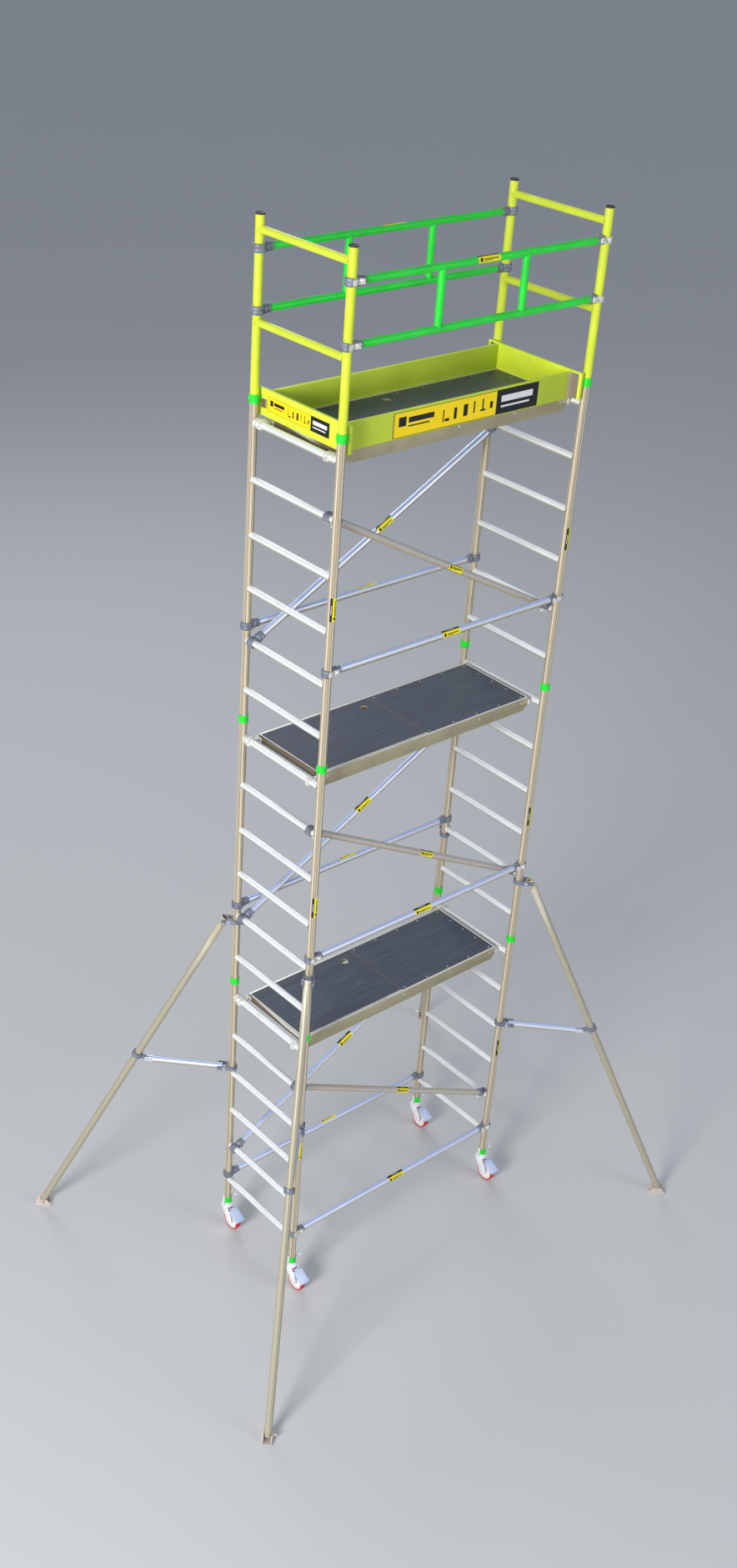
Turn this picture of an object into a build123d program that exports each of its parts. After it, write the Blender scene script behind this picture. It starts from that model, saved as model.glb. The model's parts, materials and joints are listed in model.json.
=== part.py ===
from build123d import *
from math import atan2, degrees
import os

os.makedirs("parts", exist_ok=True)

# Mobile tower scaffold: three storeys of ladder frames, braces, three hatch platforms, a guarded
# working deck, four castors and four folding outriggers.
# Frame: millimetres, +Z up, origin on the floor at the middle of the tower, +X along the bay,
# +Y across it.  "left" is -X, "right" is +X, "front" is -Y and "back" is +Y.

# ---- driving dimensions -------------------------------------------------------------------
bay_length = 1880            # between upright centres, along X
frame_width = 750            # between upright centres, along Y
frame_height = 2000          # one storey
storeys = 3
rungs_per_frame = 6
rung_pitch = frame_height / rungs_per_frame
first_rung_offset = 200      # lowest rung above the foot of its frame
frame_base_height = 235      # foot of the lowest frame above the floor

upright_diameter = 50.8
upright_wall = 2.4
rung_diameter = 44
rung_wall = 2.0
brace_diameter = 44
brace_wall = 1.8
rail_diameter = 42
rail_wall = 1.8
fit_gap = 0.1                # between pieces that are fastened together
running_gap = 0.3            # between pieces that turn or slide on each other
pin_gap = 0.05               # a pin in its hole
cut_over = 5                 # how far a cut runs past the material

# guard frames above the working deck
guard_frame_height = 985
guard_rung_offsets = (420, 907)
cap_height = 10
cap_wall = 1.2
cap_top = 5

# joint between two frames
spigot_length = 160
spigot_wall = 3
lock_ring_height = 50
lock_ring_wall = 5

# braces: heights are counted in rung pitches above the lowest rung
horizontal_brace_levels = (0.15, 7.25, 13.27)
diagonal_low_rungs = (1, 7, 13)
diagonal_rise_rungs = 3
diagonal_inset = 63          # from upright centre to brace centre, across the tower
hook_wall = 9
hook_height = 30
hook_socket_wall = 4
hook_reach = 82
hook_socket_depth = 44

# guard rails on the long sides
guardrail_levels = (18.85, 19.83)
guardrail_post_share = 1 / 6  # vertical bars, as a share of the bay each side of the middle

# platforms
platform_rungs = (5, 11, 17)
platform_names = ("lower", "middle", "top")
deck_rise = 35               # deck surface above the rung's centre
deck_end_gap = 62.5          # platform end to rung centre
deck_width = 600
deck_edge = 2                # panels lie this much below the top of the beams
beam_height = 88
beam_width = 14
end_beam_width = 10
beam_wall = 2.5
beam_corner = 38             # slanted lower corner at each end of a side beam
crossbar_height = 30
crossbar_width = 44
panel_thickness = 10
panel_gap = 2
finger_hole_radius = 25
finger_hole_inset = (108, 84)  # from the seam and from the free long edge
hatch_rest_gap = 0.3

# hatch hinges: two end to end run the whole front edge of the hatch
hinge_rise = 5               # pin centre above the deck surface
hinge_pin_radius = 3
hinge_knuckle_radius = 4.7
hinge_knuckle_length = 142
hinge_leaf = 16              # on the hatch
hinge_beam_leaf = 13         # on the side beam
hinge_leaf_thickness = 2.2
hinge_inset = 216            # hinge centre from each end of the hatch

# platform hooks
platform_hook_width = 38
platform_hook_inset = 12     # hook centre inside the deck's edge
platform_hook_wall = 11

# toe boards round the working deck
toe_board_height = 155
toe_board_thickness = 22
toe_board_overlap = 7        # how far the long boards reach below the deck surface
toe_board_post_overlap = 13  # how far an end board runs past the upright's centre line
toe_clip_size = (12, 40, 52)   # blocks on the left end board, beside the uprights
toe_angle_leg = 45             # corner angles at the right end
toe_angle_thickness = 2.5

# castors
wheel_radius = 75
wheel_width = 38
hub_radius = 64
hub_width = 34
hub_web = 10                 # depth of the recess on each face
hub_rim = 8
tyre_round = 7
axle_radius = 6
axle_boss_radius = 18
castor_trail = 65
fork_top = 190
fork_plate = 15
fork_cheek = 4
fork_cheek_gap = 4           # between wheel and cheek
fork_head_radius = 34
fork_head_taper = 12
axle_nut_radius = 10.5
axle_nut_height = 6
pedal_pin = (-34, 160)
pedal_pin_radius = 4
pedal_barrel_radius = 7
pedal_thickness = 3
pedal_side_play = 1
pedal_arm = ((-34, 168), (-70, 173), (-160, 120))
pedal_width = 78
stem_flange_height = 19
stem_flange_radius = 30
stem_wall = 4
stem_insert = 150

# outriggers: radial distances are from the upright's centre
clamp_radius = 36
clamp_height = 28
clamp_ear = 8
clamp_upper_height = 2720
clamp_lower_height = 1480
clamp_pivot = 86
clevis_play = 0.8            # between leg or strut and an ear
clamp_pin_overhang = 8
clamp_slot_start = 42
outrigger_foot_reach = 1372
foot_pivot_height = 40
outrigger_diameter = 50.8
outrigger_wall = 2.6
outrigger_end = 24           # leg tube past its upper pin
leg_foot_end = 14            # and past its foot pin
strut_inner_end = 20         # strut past its pin, towards the upright
outrigger_pin_radius = 8
strut_diameter = 44
strut_wall = 2
coupler_length = 34
coupler_lug_reach = 72       # coupler pivot from the tube's centre line
coupler_lug_thickness = 14
lug_radius = 15
fork_arm_thickness = 7
fork_arm_gap = 1
fork_arm_reach = 46          # arms, back from the pivot
fork_head_reach = 72         # solid head behind them
fork_bolt_height = 7
fork_bolt_radius = 11
foot_size = (116, 66)
foot_plate = 6
foot_cheek = 5
foot_cheek_rise = 13         # cheek above the pin
foot_cheek_top = 58          # length of its upper edge
foot_cheek_shoulder = 4      # height of its ends above the sole
foot_side_play = 1
foot_pin_overhang = 26
foot_pin_head_radius = 11
foot_pin_head_height = 4

# ---- values that follow ---------------------------------------------------------------------
half_bay = bay_length / 2
half_width = frame_width / 2
upright_radius = upright_diameter / 2
first_rung_height = frame_base_height + first_rung_offset
ends = {"left": -1, "right": 1}
sides = {"front": -1, "back": 1}
corners = {f"{side}_{end}": (sx, sy) for side, sy in sides.items() for end, sx in ends.items()}
guard_base_height = frame_base_height + storeys * frame_height
post_top_height = guard_base_height + guard_frame_height


def rung_height(index):
    return first_rung_height + index * rung_pitch


def save(name, pieces):
    """Writes one node: pieces is a part, or a list of parts that stay separate solids."""
    solids = [s for piece in (pieces if isinstance(pieces, list) else [pieces]) for s in piece.solids()]
    node = Compound(solids) if len(solids) > 1 else Part(solids[0].wrapped)
    node.label = name
    export_step(node, f"parts/{name}.step")


# ---- basic pieces ---------------------------------------------------------------------------
def tube(start, end, diameter, wall):
    start, end = Vector(start), Vector(end)
    with BuildPart() as piece:
        with BuildSketch(Plane(origin=start, z_dir=end - start)):
            Circle(diameter / 2)
            Circle(diameter / 2 - wall, mode=Mode.SUBTRACT)
        extrude(amount=(end - start).length)
    return piece.part


def crossbar(x, z, diameter, wall, reach=half_width):
    """A tube across the frame, coped to sit against both uprights."""
    with BuildPart() as piece:
        with BuildSketch(Plane(origin=(x, -reach, z), z_dir=(0, 1, 0))):
            Circle(diameter / 2)
            Circle(diameter / 2 - wall, mode=Mode.SUBTRACT)
        extrude(amount=2 * reach)
        with BuildSketch(Plane.XY.offset(z - diameter)):
            with Locations((x, -reach), (x, reach)):
                Circle(upright_radius)
        extrude(amount=2 * diameter, mode=Mode.SUBTRACT)
    return piece.part


def ladder_frame(x, base, height, rung_offsets):
    """Two uprights and the rungs welded between them, as separate touching tubes."""
    pieces = [tube((x, sy * half_width, base), (x, sy * half_width, base + height),
                   upright_diameter, upright_wall) for sy in (-1, 1)]
    pieces += [crossbar(x, base + offset, rung_diameter, rung_wall) for offset in rung_offsets]
    return pieces


def ring(radius, wall, base, height, gap=fit_gap):
    """A collar on a vertical tube of this radius, standing at the origin."""
    with BuildPart() as piece:
        with BuildSketch(Plane.XY.offset(base)):
            Circle(radius + wall)
            Circle(radius + gap, mode=Mode.SUBTRACT)
        extrude(amount=height)
    return piece.part


def snap_hook(gripped_diameter, tube_diameter):
    """Cast hook round a tube on local Z, with a socket along local +X for the brace's end."""
    socket_radius = tube_diameter / 2 + hook_socket_wall
    with BuildPart() as piece:
        with BuildSketch(Plane.XY):
            Circle(gripped_diameter / 2 + hook_wall)
        extrude(amount=hook_height / 2, both=True)
        with BuildSketch(Plane.YZ):
            Circle(socket_radius)
        extrude(amount=hook_reach)
        with BuildSketch(Plane.YZ.offset(hook_reach - hook_socket_depth)):
            Circle(tube_diameter / 2 + fit_gap)
        extrude(amount=hook_socket_depth, mode=Mode.SUBTRACT)
        with BuildSketch(Plane.XY):
            Circle(gripped_diameter / 2 + fit_gap)
        extrude(amount=socket_radius + cut_over, both=True, mode=Mode.SUBTRACT)
    return piece.part


brace_start = hook_reach - hook_socket_depth + fit_gap   # from the gripped tube's centre


# ---- ladder frames, spigots and green locking rings -----------------------------------------
rung_offsets = [first_rung_offset + i * rung_pitch for i in range(rungs_per_frame)]
storey_names = ("base", "middle", "upper")
for storey in range(storeys):
    base = frame_base_height + storey * frame_height
    for end, sx in ends.items():
        save(f"{storey_names[storey]}_frame_{end}",
             ladder_frame(sx * half_bay, base, frame_height, rung_offsets))

save("guard_frames", [piece for sx in (-1, 1) for piece in
                      ladder_frame(sx * half_bay, guard_base_height, guard_frame_height, guard_rung_offsets)])

upright_places = [Location((sx * half_bay, sy * half_width, 0)) for sx, sy in corners.values()]
joint_heights = [frame_base_height + (i + 1) * frame_height for i in range(storeys)]
spigot_radius = upright_radius - upright_wall - fit_gap

with BuildPart() as frame_spigots:
    for z in joint_heights:
        with BuildSketch(Plane.XY.offset(z - spigot_length / 2)):
            with Locations(*upright_places):
                Circle(spigot_radius)
                Circle(spigot_radius - spigot_wall, mode=Mode.SUBTRACT)
        extrude(amount=spigot_length)
save("frame_spigots", frame_spigots.part)

lock_ring = ring(upright_radius, lock_ring_wall, -lock_ring_height / 2, lock_ring_height)
save("lock_rings", [lock_ring.moved(place).moved(Location((0, 0, z)))
                    for z in [frame_base_height] + joint_heights for place in upright_places])

with BuildPart() as post_caps:
    with BuildSketch(Plane.XY.offset(post_top_height + cap_top - cap_height)):
        with Locations(*upright_places):
            Circle(upright_radius + cap_wall)
    extrude(amount=cap_height)
    with BuildSketch(Plane.XY.offset(post_top_height + cap_top - cap_height)):
        with Locations(*upright_places):
            Circle(upright_radius + fit_gap)
    extrude(amount=cap_height - cap_top, mode=Mode.SUBTRACT)
    fillet(post_caps.edges().group_by(Axis.Z)[-1], radius=cap_wall)
save("post_caps", post_caps.part)


# ---- braces, guard rails and their hooks ----------------------------------------------------
def brace_between(start, end, diameter, wall, hook, grip_axis, braces, hooks):
    """Adds a tube between two gripped centre lines, with a hook on each of its ends."""
    start, end = Vector(start), Vector(end)
    along = (end - start).normalized()
    braces.append(tube(start + along * brace_start, end - along * brace_start, diameter, wall))
    for point, direction in ((start, along), (end, along * -1)):
        hooks.append(hook.moved(Plane(origin=point, x_dir=direction, z_dir=grip_axis).location))


horizontal_braces, diagonal_braces, guardrails, snap_hooks = [], [], [], []
upright_hook = snap_hook(upright_diameter, brace_diameter)
rung_hook = snap_hook(rung_diameter, brace_diameter)
rail_hook = snap_hook(upright_diameter, rail_diameter)

for sy in sides.values():
    for level in horizontal_brace_levels:
        z = rung_height(level)
        brace_between((-half_bay, sy * half_width, z), (half_bay, sy * half_width, z),
                      brace_diameter, brace_wall, upright_hook, (0, 0, 1), horizontal_braces, snap_hooks)
    for low in diagonal_low_rungs:
        # on the front side the left end is the high one, on the back side the right end is
        y = sy * (half_width - diagonal_inset)
        brace_between((sy * half_bay, y, rung_height(low + diagonal_rise_rungs)),
                      (-sy * half_bay, y, rung_height(low)),
                      brace_diameter, brace_wall, rung_hook, (0, 1, 0), diagonal_braces, snap_hooks)
    for level in guardrail_levels:
        z = rung_height(level)
        brace_between((-half_bay, sy * half_width, z), (half_bay, sy * half_width, z),
                      rail_diameter, rail_wall, rail_hook, (0, 0, 1), guardrails, snap_hooks)
    for sx in ends.values():
        with BuildPart() as bar:
            x = sx * bay_length * guardrail_post_share
            low, high = map(rung_height, guardrail_levels)
            with BuildSketch(Plane(origin=(x, sy * half_width, low), z_dir=(0, 0, 1))):
                Circle(rail_diameter / 2)
                Circle(rail_diameter / 2 - rail_wall, mode=Mode.SUBTRACT)
            extrude(amount=high - low)
            with BuildSketch(Plane(origin=(x - rail_diameter, sy * half_width, low), z_dir=(1, 0, 0))):
                Circle(rail_diameter / 2)
            extrude(amount=2 * rail_diameter, mode=Mode.SUBTRACT)
            with BuildSketch(Plane(origin=(x - rail_diameter, sy * half_width, high), z_dir=(1, 0, 0))):
                Circle(rail_diameter / 2)
            extrude(amount=2 * rail_diameter, mode=Mode.SUBTRACT)
        guardrails.append(bar.part)

save("horizontal_braces", horizontal_braces)
save("diagonal_braces", diagonal_braces)
save("guardrails", guardrails)
save("snap_hooks", snap_hooks)


# ---- platforms ------------------------------------------------------------------------------
deck_end = half_bay - deck_end_gap
deck_half = deck_width / 2
panel_end = deck_end - end_beam_width - panel_gap
panel_half = deck_half - beam_width - panel_gap


def platform_frame(deck):
    """Side beams, end beams and cross bars of one platform, as separate touching pieces."""
    beams = []
    for sy in (-1, 1):
        with BuildPart() as beam:
            with BuildSketch(Plane.XZ):
                with BuildLine():
                    Polyline((-deck_end, deck), (deck_end, deck),
                             (deck_end, deck - beam_height + beam_corner),
                             (deck_end - beam_corner, deck - beam_height),
                             (beam_corner - deck_end, deck - beam_height),
                             (-deck_end, deck - beam_height + beam_corner), close=True)
                make_face()
            extrude(amount=beam_width)
            # the beam is a channel, open towards the middle of the platform
            with Locations((0, -beam_width / 2 - sy * beam_wall, deck - beam_height / 2)):
                Box(2 * (deck_end - beam_corner - beam_wall), beam_width, beam_height - 2 * beam_wall,
                    mode=Mode.SUBTRACT)
        beams.append(beam.part.moved(Location((0, sy * (deck_half - beam_width / 2) + beam_width / 2, 0))))
    inner_width = deck_width - 2 * beam_width
    low_corner = beam_height - beam_corner
    for sx in (-1, 1):
        with BuildPart() as end_beam:
            with Locations((sx * (deck_end - end_beam_width / 2), 0, deck - low_corner / 2)):
                Box(end_beam_width, inner_width, low_corner)
                Box(end_beam_width - 2 * beam_wall, inner_width, low_corner - 2 * beam_wall,
                    mode=Mode.SUBTRACT)
        beams.append(end_beam.part)
    bar_top = deck - deck_edge - panel_thickness - hatch_rest_gap
    for x in (0, deck_end / 2):
        with BuildPart() as bar:
            with Locations((x, 0, bar_top - crossbar_height / 2)):
                Box(crossbar_width, inner_width, crossbar_height)
                Box(crossbar_width - 2 * beam_wall, inner_width, crossbar_height - 2 * beam_wall,
                    mode=Mode.SUBTRACT)
        beams.append(bar.part)
    return beams


def deck_panel(deck):
    with BuildPart() as panel:
        top = deck - deck_edge
        with BuildSketch(Plane.XY.offset(top - panel_thickness)):
            with Locations(((panel_end + panel_gap / 2) / 2, 0)):
                Rectangle(panel_end - panel_gap / 2, 2 * panel_half)
        extrude(amount=panel_thickness)
    return panel.part


hinge_y = -deck_half + beam_width
hatch_centre = -(panel_end + panel_gap / 2) / 2
hatch_length = panel_end - panel_gap / 2
hinge_places = [hatch_centre + s * (hatch_length / 2 - hinge_inset) for s in (-1, 1)]


def knuckle(x, z, side, leaf, leaf_drop):
    """One hinge knuckle with its flat leaf; side is -1 towards the beam, 1 towards the hatch."""
    with BuildPart() as piece:
        with BuildSketch(Plane(origin=(x - hinge_knuckle_length / 2, hinge_y, z), x_dir=(0, 1, 0),
                               z_dir=(1, 0, 0))):
            Circle(hinge_knuckle_radius)
            with Locations((side * leaf / 2, -leaf_drop + hinge_leaf_thickness / 2)):
                Rectangle(leaf, hinge_leaf_thickness)
        extrude(amount=hinge_knuckle_length)
        with BuildSketch(Plane(origin=(x - hinge_knuckle_length / 2, hinge_y, z), z_dir=(1, 0, 0))):
            Circle(hinge_pin_radius + pin_gap)
        extrude(amount=hinge_knuckle_length, mode=Mode.SUBTRACT)
    return piece.part


def hatch(deck):
    """Hatch panel with a finger hole, and the outer knuckles of its two hinges."""
    top = deck - deck_edge
    with BuildPart() as panel:
        with BuildSketch(Plane.XY.offset(top - panel_thickness)):
            with Locations((hatch_centre, 0)):
                Rectangle(hatch_length, 2 * panel_half)
            with Locations((-finger_hole_inset[0], panel_half - finger_hole_inset[1])):
                Circle(finger_hole_radius, mode=Mode.SUBTRACT)
        extrude(amount=panel_thickness)
    pieces = [panel.part]
    for x in hinge_places:
        for s in (-1, 1):
            pieces.append(knuckle(x + s * (hinge_knuckle_length + running_gap), deck + hinge_rise, 1,
                                  hinge_leaf, hinge_rise + deck_edge))
    return pieces


def hatch_hinge(deck):
    """Fixed middle knuckle and pin of each hinge on a platform's front beam."""
    pieces = []
    pin_length = 3 * hinge_knuckle_length + 4 * running_gap
    for x in hinge_places:
        pieces.append(knuckle(x, deck + hinge_rise, -1, hinge_beam_leaf, hinge_rise))
        with BuildPart() as pin:
            with BuildSketch(Plane(origin=(x - pin_length / 2, hinge_y, deck + hinge_rise), z_dir=(1, 0, 0))):
                Circle(hinge_pin_radius)
            extrude(amount=pin_length)
        pieces.append(pin.part)
    return pieces


def platform_hook(deck, rung_z):
    """Cast hook from a platform's right-hand end over the rung, at the origin across the tower."""
    grip = rung_diameter / 2 + fit_gap
    tip = half_bay + grip + platform_hook_wall
    rung_top = rung_z + grip
    with BuildPart() as piece:
        with BuildSketch(Plane.XZ):
            with BuildLine():
                Polyline((deck_end, deck - deck_edge), (half_bay + grip, deck - deck_edge), (tip, rung_top),
                         (tip, rung_z - grip), (half_bay, rung_z - grip), (deck_end, rung_z - grip),
                         close=True)
            make_face()
            with Locations((half_bay, rung_z)):
                Circle(grip, mode=Mode.SUBTRACT)
            with Locations((half_bay, rung_z - grip)):
                Rectangle(2 * grip, 2 * grip, mode=Mode.SUBTRACT)
        extrude(amount=platform_hook_width / 2, both=True)
    return piece.part


platform_frames, deck_panels, hatch_hinges, platform_hooks = [], [], [], []
for index, name in zip(platform_rungs, platform_names):
    rung_z = rung_height(index)
    deck = rung_z + deck_rise
    platform_frames += platform_frame(deck)
    deck_panels.append(deck_panel(deck))
    hatch_hinges += hatch_hinge(deck)
    hook = platform_hook(deck, rung_z)
    for sy in (-1, 1):
        y = sy * (deck_half - platform_hook_inset)
        platform_hooks.append(hook.moved(Location((0, y, 0))))
        platform_hooks.append(hook.moved(Location((0, y, 0), (0, 0, 180))))
    save(f"hatch_{name}", hatch(deck))

save("platform_frames", platform_frames)
save("deck_panels", deck_panels)
save("hatch_hinges", hatch_hinges)
save("platform_hooks", platform_hooks)

# toe boards stand round the edge of the top platform
deck = rung_height(platform_rungs[-1]) + deck_rise
board_base = deck - toe_board_overlap
end_board_base = deck + fit_gap
end_board_half = half_width + toe_board_post_overlap
long_board_end = deck_end - fit_gap
with BuildPart() as toe_boards:
    for sy in (-1, 1):
        with Locations((0, sy * (deck_half + fit_gap + toe_board_thickness / 2),
                        board_base + toe_board_height / 2)):
            Box(2 * long_board_end, toe_board_thickness, toe_board_height)
    for sx in (-1, 1):
        with Locations((sx * (deck_end + toe_board_thickness / 2), 0,
                        end_board_base + toe_board_height / 2)):
            Box(toe_board_thickness, 2 * end_board_half, toe_board_height)
save("toe_boards", toe_boards.part)

board_outer = deck_half + fit_gap + toe_board_thickness + fit_gap
with BuildPart() as toe_board_clips:
    clip_x, clip_y, clip_z = toe_clip_size
    face = deck_end + toe_board_thickness + fit_gap
    for sy in (-1, 1):
        with Locations((-face - clip_x / 2, sy * (half_width - upright_radius - clip_y / 2 - fit_gap),
                        end_board_base + toe_board_height / 2)):
            Box(clip_x, clip_y, clip_z)
        # one leg on the long board's outer face, the other on the end board's inner face
        with BuildSketch(Plane.XY.offset(end_board_base)):
            with Locations((long_board_end - toe_angle_leg / 2,
                            sy * (board_outer + toe_angle_thickness / 2))):
                Rectangle(toe_angle_leg, toe_angle_thickness)
            with Locations((long_board_end - toe_angle_thickness / 2,
                            sy * (board_outer + toe_angle_leg / 2))):
                Rectangle(toe_angle_thickness, toe_angle_leg)
        extrude(amount=toe_board_height - toe_board_overlap)
save("toe_board_clips", toe_board_clips.part)


# ---- castors --------------------------------------------------------------------------------
stem_radius = upright_radius - upright_wall - fit_gap
with BuildPart() as stem:
    with BuildSketch(Plane.XY.offset(fork_top + running_gap)):
        Circle(stem_flange_radius)
    extrude(amount=stem_flange_height)
    with BuildSketch(Plane.XY.offset(fork_top + running_gap)):
        Circle(stem_radius)
    extrude(amount=frame_base_height + stem_insert - fork_top)
    with BuildSketch(Plane.XY.offset(fork_top + stem_flange_height)):
        Circle(stem_radius - stem_wall)
    extrude(amount=frame_base_height + stem_insert, mode=Mode.SUBTRACT)
save("castor_stems", [stem.part.moved(place) for place in upright_places])

cheek_inner = wheel_width / 2 + fork_cheek_gap
axle_length = 2 * (cheek_inner + fork_cheek)

with BuildPart() as fork:
    with BuildSketch(Plane.XY.offset(fork_top - fork_plate)):
        Circle(fork_head_radius)
    extrude(amount=fork_plate)
    for sx in (-1, 1):
        with BuildSketch(Plane(origin=(sx * (cheek_inner + fork_cheek / 2), 0, 0), x_dir=(0, 1, 0),
                               z_dir=(1, 0, 0))):
            half_head = fork_head_radius - fork_head_taper
            with BuildLine():
                Polyline((-fork_head_radius, fork_top - fork_plate), (-half_head, fork_top),
                         (half_head, fork_top), (half_head, fork_top - fork_plate - fork_head_taper),
                         (-castor_trail + axle_boss_radius, wheel_radius),
                         (-castor_trail - axle_boss_radius, wheel_radius), close=True)
            make_face()
            with Locations((-castor_trail, wheel_radius)):
                Circle(axle_boss_radius)
                Circle(axle_radius + pin_gap, mode=Mode.SUBTRACT)
            with Locations(pedal_pin):
                Circle(pedal_pin_radius + pin_gap, mode=Mode.SUBTRACT)
        extrude(amount=fork_cheek / 2, both=True)

with BuildPart() as axle:
    with BuildSketch(Plane.YZ.offset(-axle_length / 2)):
        with Locations((-castor_trail, wheel_radius)):
            Circle(axle_radius)
    extrude(amount=axle_length)
    for x in (-axle_length / 2 - axle_nut_height, axle_length / 2):
        with BuildSketch(Plane.YZ.offset(x)):
            with Locations((-castor_trail, wheel_radius)):
                RegularPolygon(radius=axle_nut_radius, side_count=6)
        extrude(amount=axle_nut_height)

with BuildPart() as pedal_pivot:
    with BuildSketch(Plane.YZ.offset(-axle_length / 2)):
        with Locations(pedal_pin):
            Circle(pedal_pin_radius)
    extrude(amount=axle_length)

with BuildPart() as hub:
    with BuildSketch(Plane.YZ.offset(-hub_width / 2)):
        with Locations((-castor_trail, wheel_radius)):
            Circle(hub_radius)
    extrude(amount=hub_width)
    for x in (-hub_width / 2, hub_width / 2 - hub_web):
        with BuildSketch(Plane.YZ.offset(x)):
            with Locations((-castor_trail, wheel_radius)):
                Circle(hub_radius - hub_rim)
                Circle(axle_boss_radius, mode=Mode.SUBTRACT)
        extrude(amount=hub_web, mode=Mode.SUBTRACT)
    with BuildSketch(Plane.YZ.offset(-hub_width / 2)):
        with Locations((-castor_trail, wheel_radius)):
            Circle(axle_radius + pin_gap)
    extrude(amount=hub_width, mode=Mode.SUBTRACT)

with BuildPart() as tyre:
    with BuildSketch(Plane.YZ.offset(-wheel_width / 2)):
        with Locations((-castor_trail, wheel_radius)):
            Circle(wheel_radius)
    extrude(amount=wheel_width)
    fillet(tyre.edges(), radius=tyre_round)
    with BuildSketch(Plane.YZ.offset(-wheel_width / 2)):
        with Locations((-castor_trail, wheel_radius)):
            Circle(hub_radius)
    extrude(amount=wheel_width, mode=Mode.SUBTRACT)

with BuildPart() as pedal:
    barrel_length = 2 * (cheek_inner - pedal_side_play)
    with BuildSketch(Plane.YZ.offset(-barrel_length / 2)):
        with Locations(pedal_pin):
            Circle(pedal_barrel_radius)
        (y0, z0), (y1, z1), (y2, z2) = pedal_arm
        with BuildLine():
            Polyline((y0, z0 - pedal_thickness), (y1, z1 - pedal_thickness), (y1, z1), (y0, z0), close=True)
        make_face()
    extrude(amount=barrel_length)
    with BuildSketch(Plane.YZ.offset(-pedal_width / 2)):
        with BuildLine():
            Polyline((y1, z1 - pedal_thickness), (y2, z2 - pedal_thickness), (y2, z2), (y1, z1), close=True)
        make_face()
    extrude(amount=pedal_width)
    with BuildSketch(Plane.YZ.offset(-barrel_length / 2)):
        with Locations(pedal_pin):
            Circle(pedal_pin_radius + pin_gap)
    extrude(amount=barrel_length, mode=Mode.SUBTRACT)

for name, (sx, sy) in corners.items():
    place = Location((sx * half_bay, sy * half_width, 0))
    save(f"castor_{name}_fork", [piece.part.moved(place) for piece in (fork, axle, pedal_pivot)])
    save(f"castor_{name}_hub", hub.part.moved(place))
    save(f"castor_{name}_tyre", tyre.part.moved(place))
    save(f"castor_{name}_pedal", pedal.part.moved(place))


# ---- outriggers -----------------------------------------------------------------------------
# Built with +X pointing outwards and the upright on the Z axis, then turned to each corner.
clevis_gap = outrigger_diameter / 2 + clevis_play
clevis_width = 2 * (clevis_gap + clamp_ear)
top_pivot = Vector(clamp_pivot, 0, clamp_upper_height)
foot_pivot = Vector(outrigger_foot_reach, 0, foot_pivot_height)
lower_pivot = Vector(clamp_pivot, 0, clamp_lower_height)
along_tube = (foot_pivot - top_pivot).normalized()
inward = Vector(along_tube.Z, 0, -along_tube.X)      # square to the tube, towards the tower
# the coupler's pivot lies level with the lower clamp
coupler_drop = (clamp_lower_height - coupler_lug_reach * inward.Z - clamp_upper_height) / along_tube.Z
coupler_centre = top_pivot + along_tube * coupler_drop
strut_end = coupler_centre + inward * coupler_lug_reach


def across_pin(point, radius, length):
    with BuildPart() as piece:
        with BuildSketch(Plane(origin=point - Vector(0, length / 2, 0), z_dir=(0, 1, 0))):
            Circle(radius)
        extrude(amount=length)
    return piece.part


def swing_clamp(height):
    """Split clamp round the upright with two ears for a pivot pin."""
    with BuildPart() as piece:
        with BuildSketch(Plane.XY.offset(height - clamp_height / 2)):
            Circle(clamp_radius)
            with Locations(((clamp_pivot + lug_radius) / 2, 0)):
                Rectangle(clamp_pivot + lug_radius, clevis_width)
            with Locations(((clamp_slot_start + clamp_pivot + lug_radius + cut_over) / 2, 0)):
                Rectangle(clamp_pivot + lug_radius + cut_over - clamp_slot_start, 2 * clevis_gap,
                          mode=Mode.SUBTRACT)
            Circle(upright_radius + running_gap, mode=Mode.SUBTRACT)
        extrude(amount=clamp_height)
        with BuildSketch(Plane(origin=(clamp_pivot, -clevis_width, height), z_dir=(0, 1, 0))):
            Circle(outrigger_pin_radius + pin_gap)
        extrude(amount=2 * clevis_width, mode=Mode.SUBTRACT)
    return piece.part


def drilled_tube(start, end, diameter, wall, pins):
    """A tube with a cross hole for each pin."""
    start, end = Vector(start), Vector(end)
    with BuildPart() as piece:
        with BuildSketch(Plane(origin=start, z_dir=end - start)):
            Circle(diameter / 2)
            Circle(diameter / 2 - wall, mode=Mode.SUBTRACT)
        extrude(amount=(end - start).length)
        for pin in pins:
            with BuildSketch(Plane(origin=pin - Vector(0, diameter, 0), z_dir=(0, 1, 0))):
                Circle(outrigger_pin_radius + pin_gap)
            extrude(amount=2 * diameter, mode=Mode.SUBTRACT)
    return piece.part


pin_length = clevis_width + 2 * clamp_pin_overhang
clamp_pieces = [swing_clamp(clamp_upper_height), swing_clamp(clamp_lower_height),
                across_pin(top_pivot, outrigger_pin_radius, pin_length),
                across_pin(lower_pivot, outrigger_pin_radius, pin_length)]
leg_tube = drilled_tube(top_pivot - along_tube * outrigger_end, foot_pivot + along_tube * leg_foot_end,
                        outrigger_diameter, outrigger_wall, (top_pivot, foot_pivot))

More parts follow.
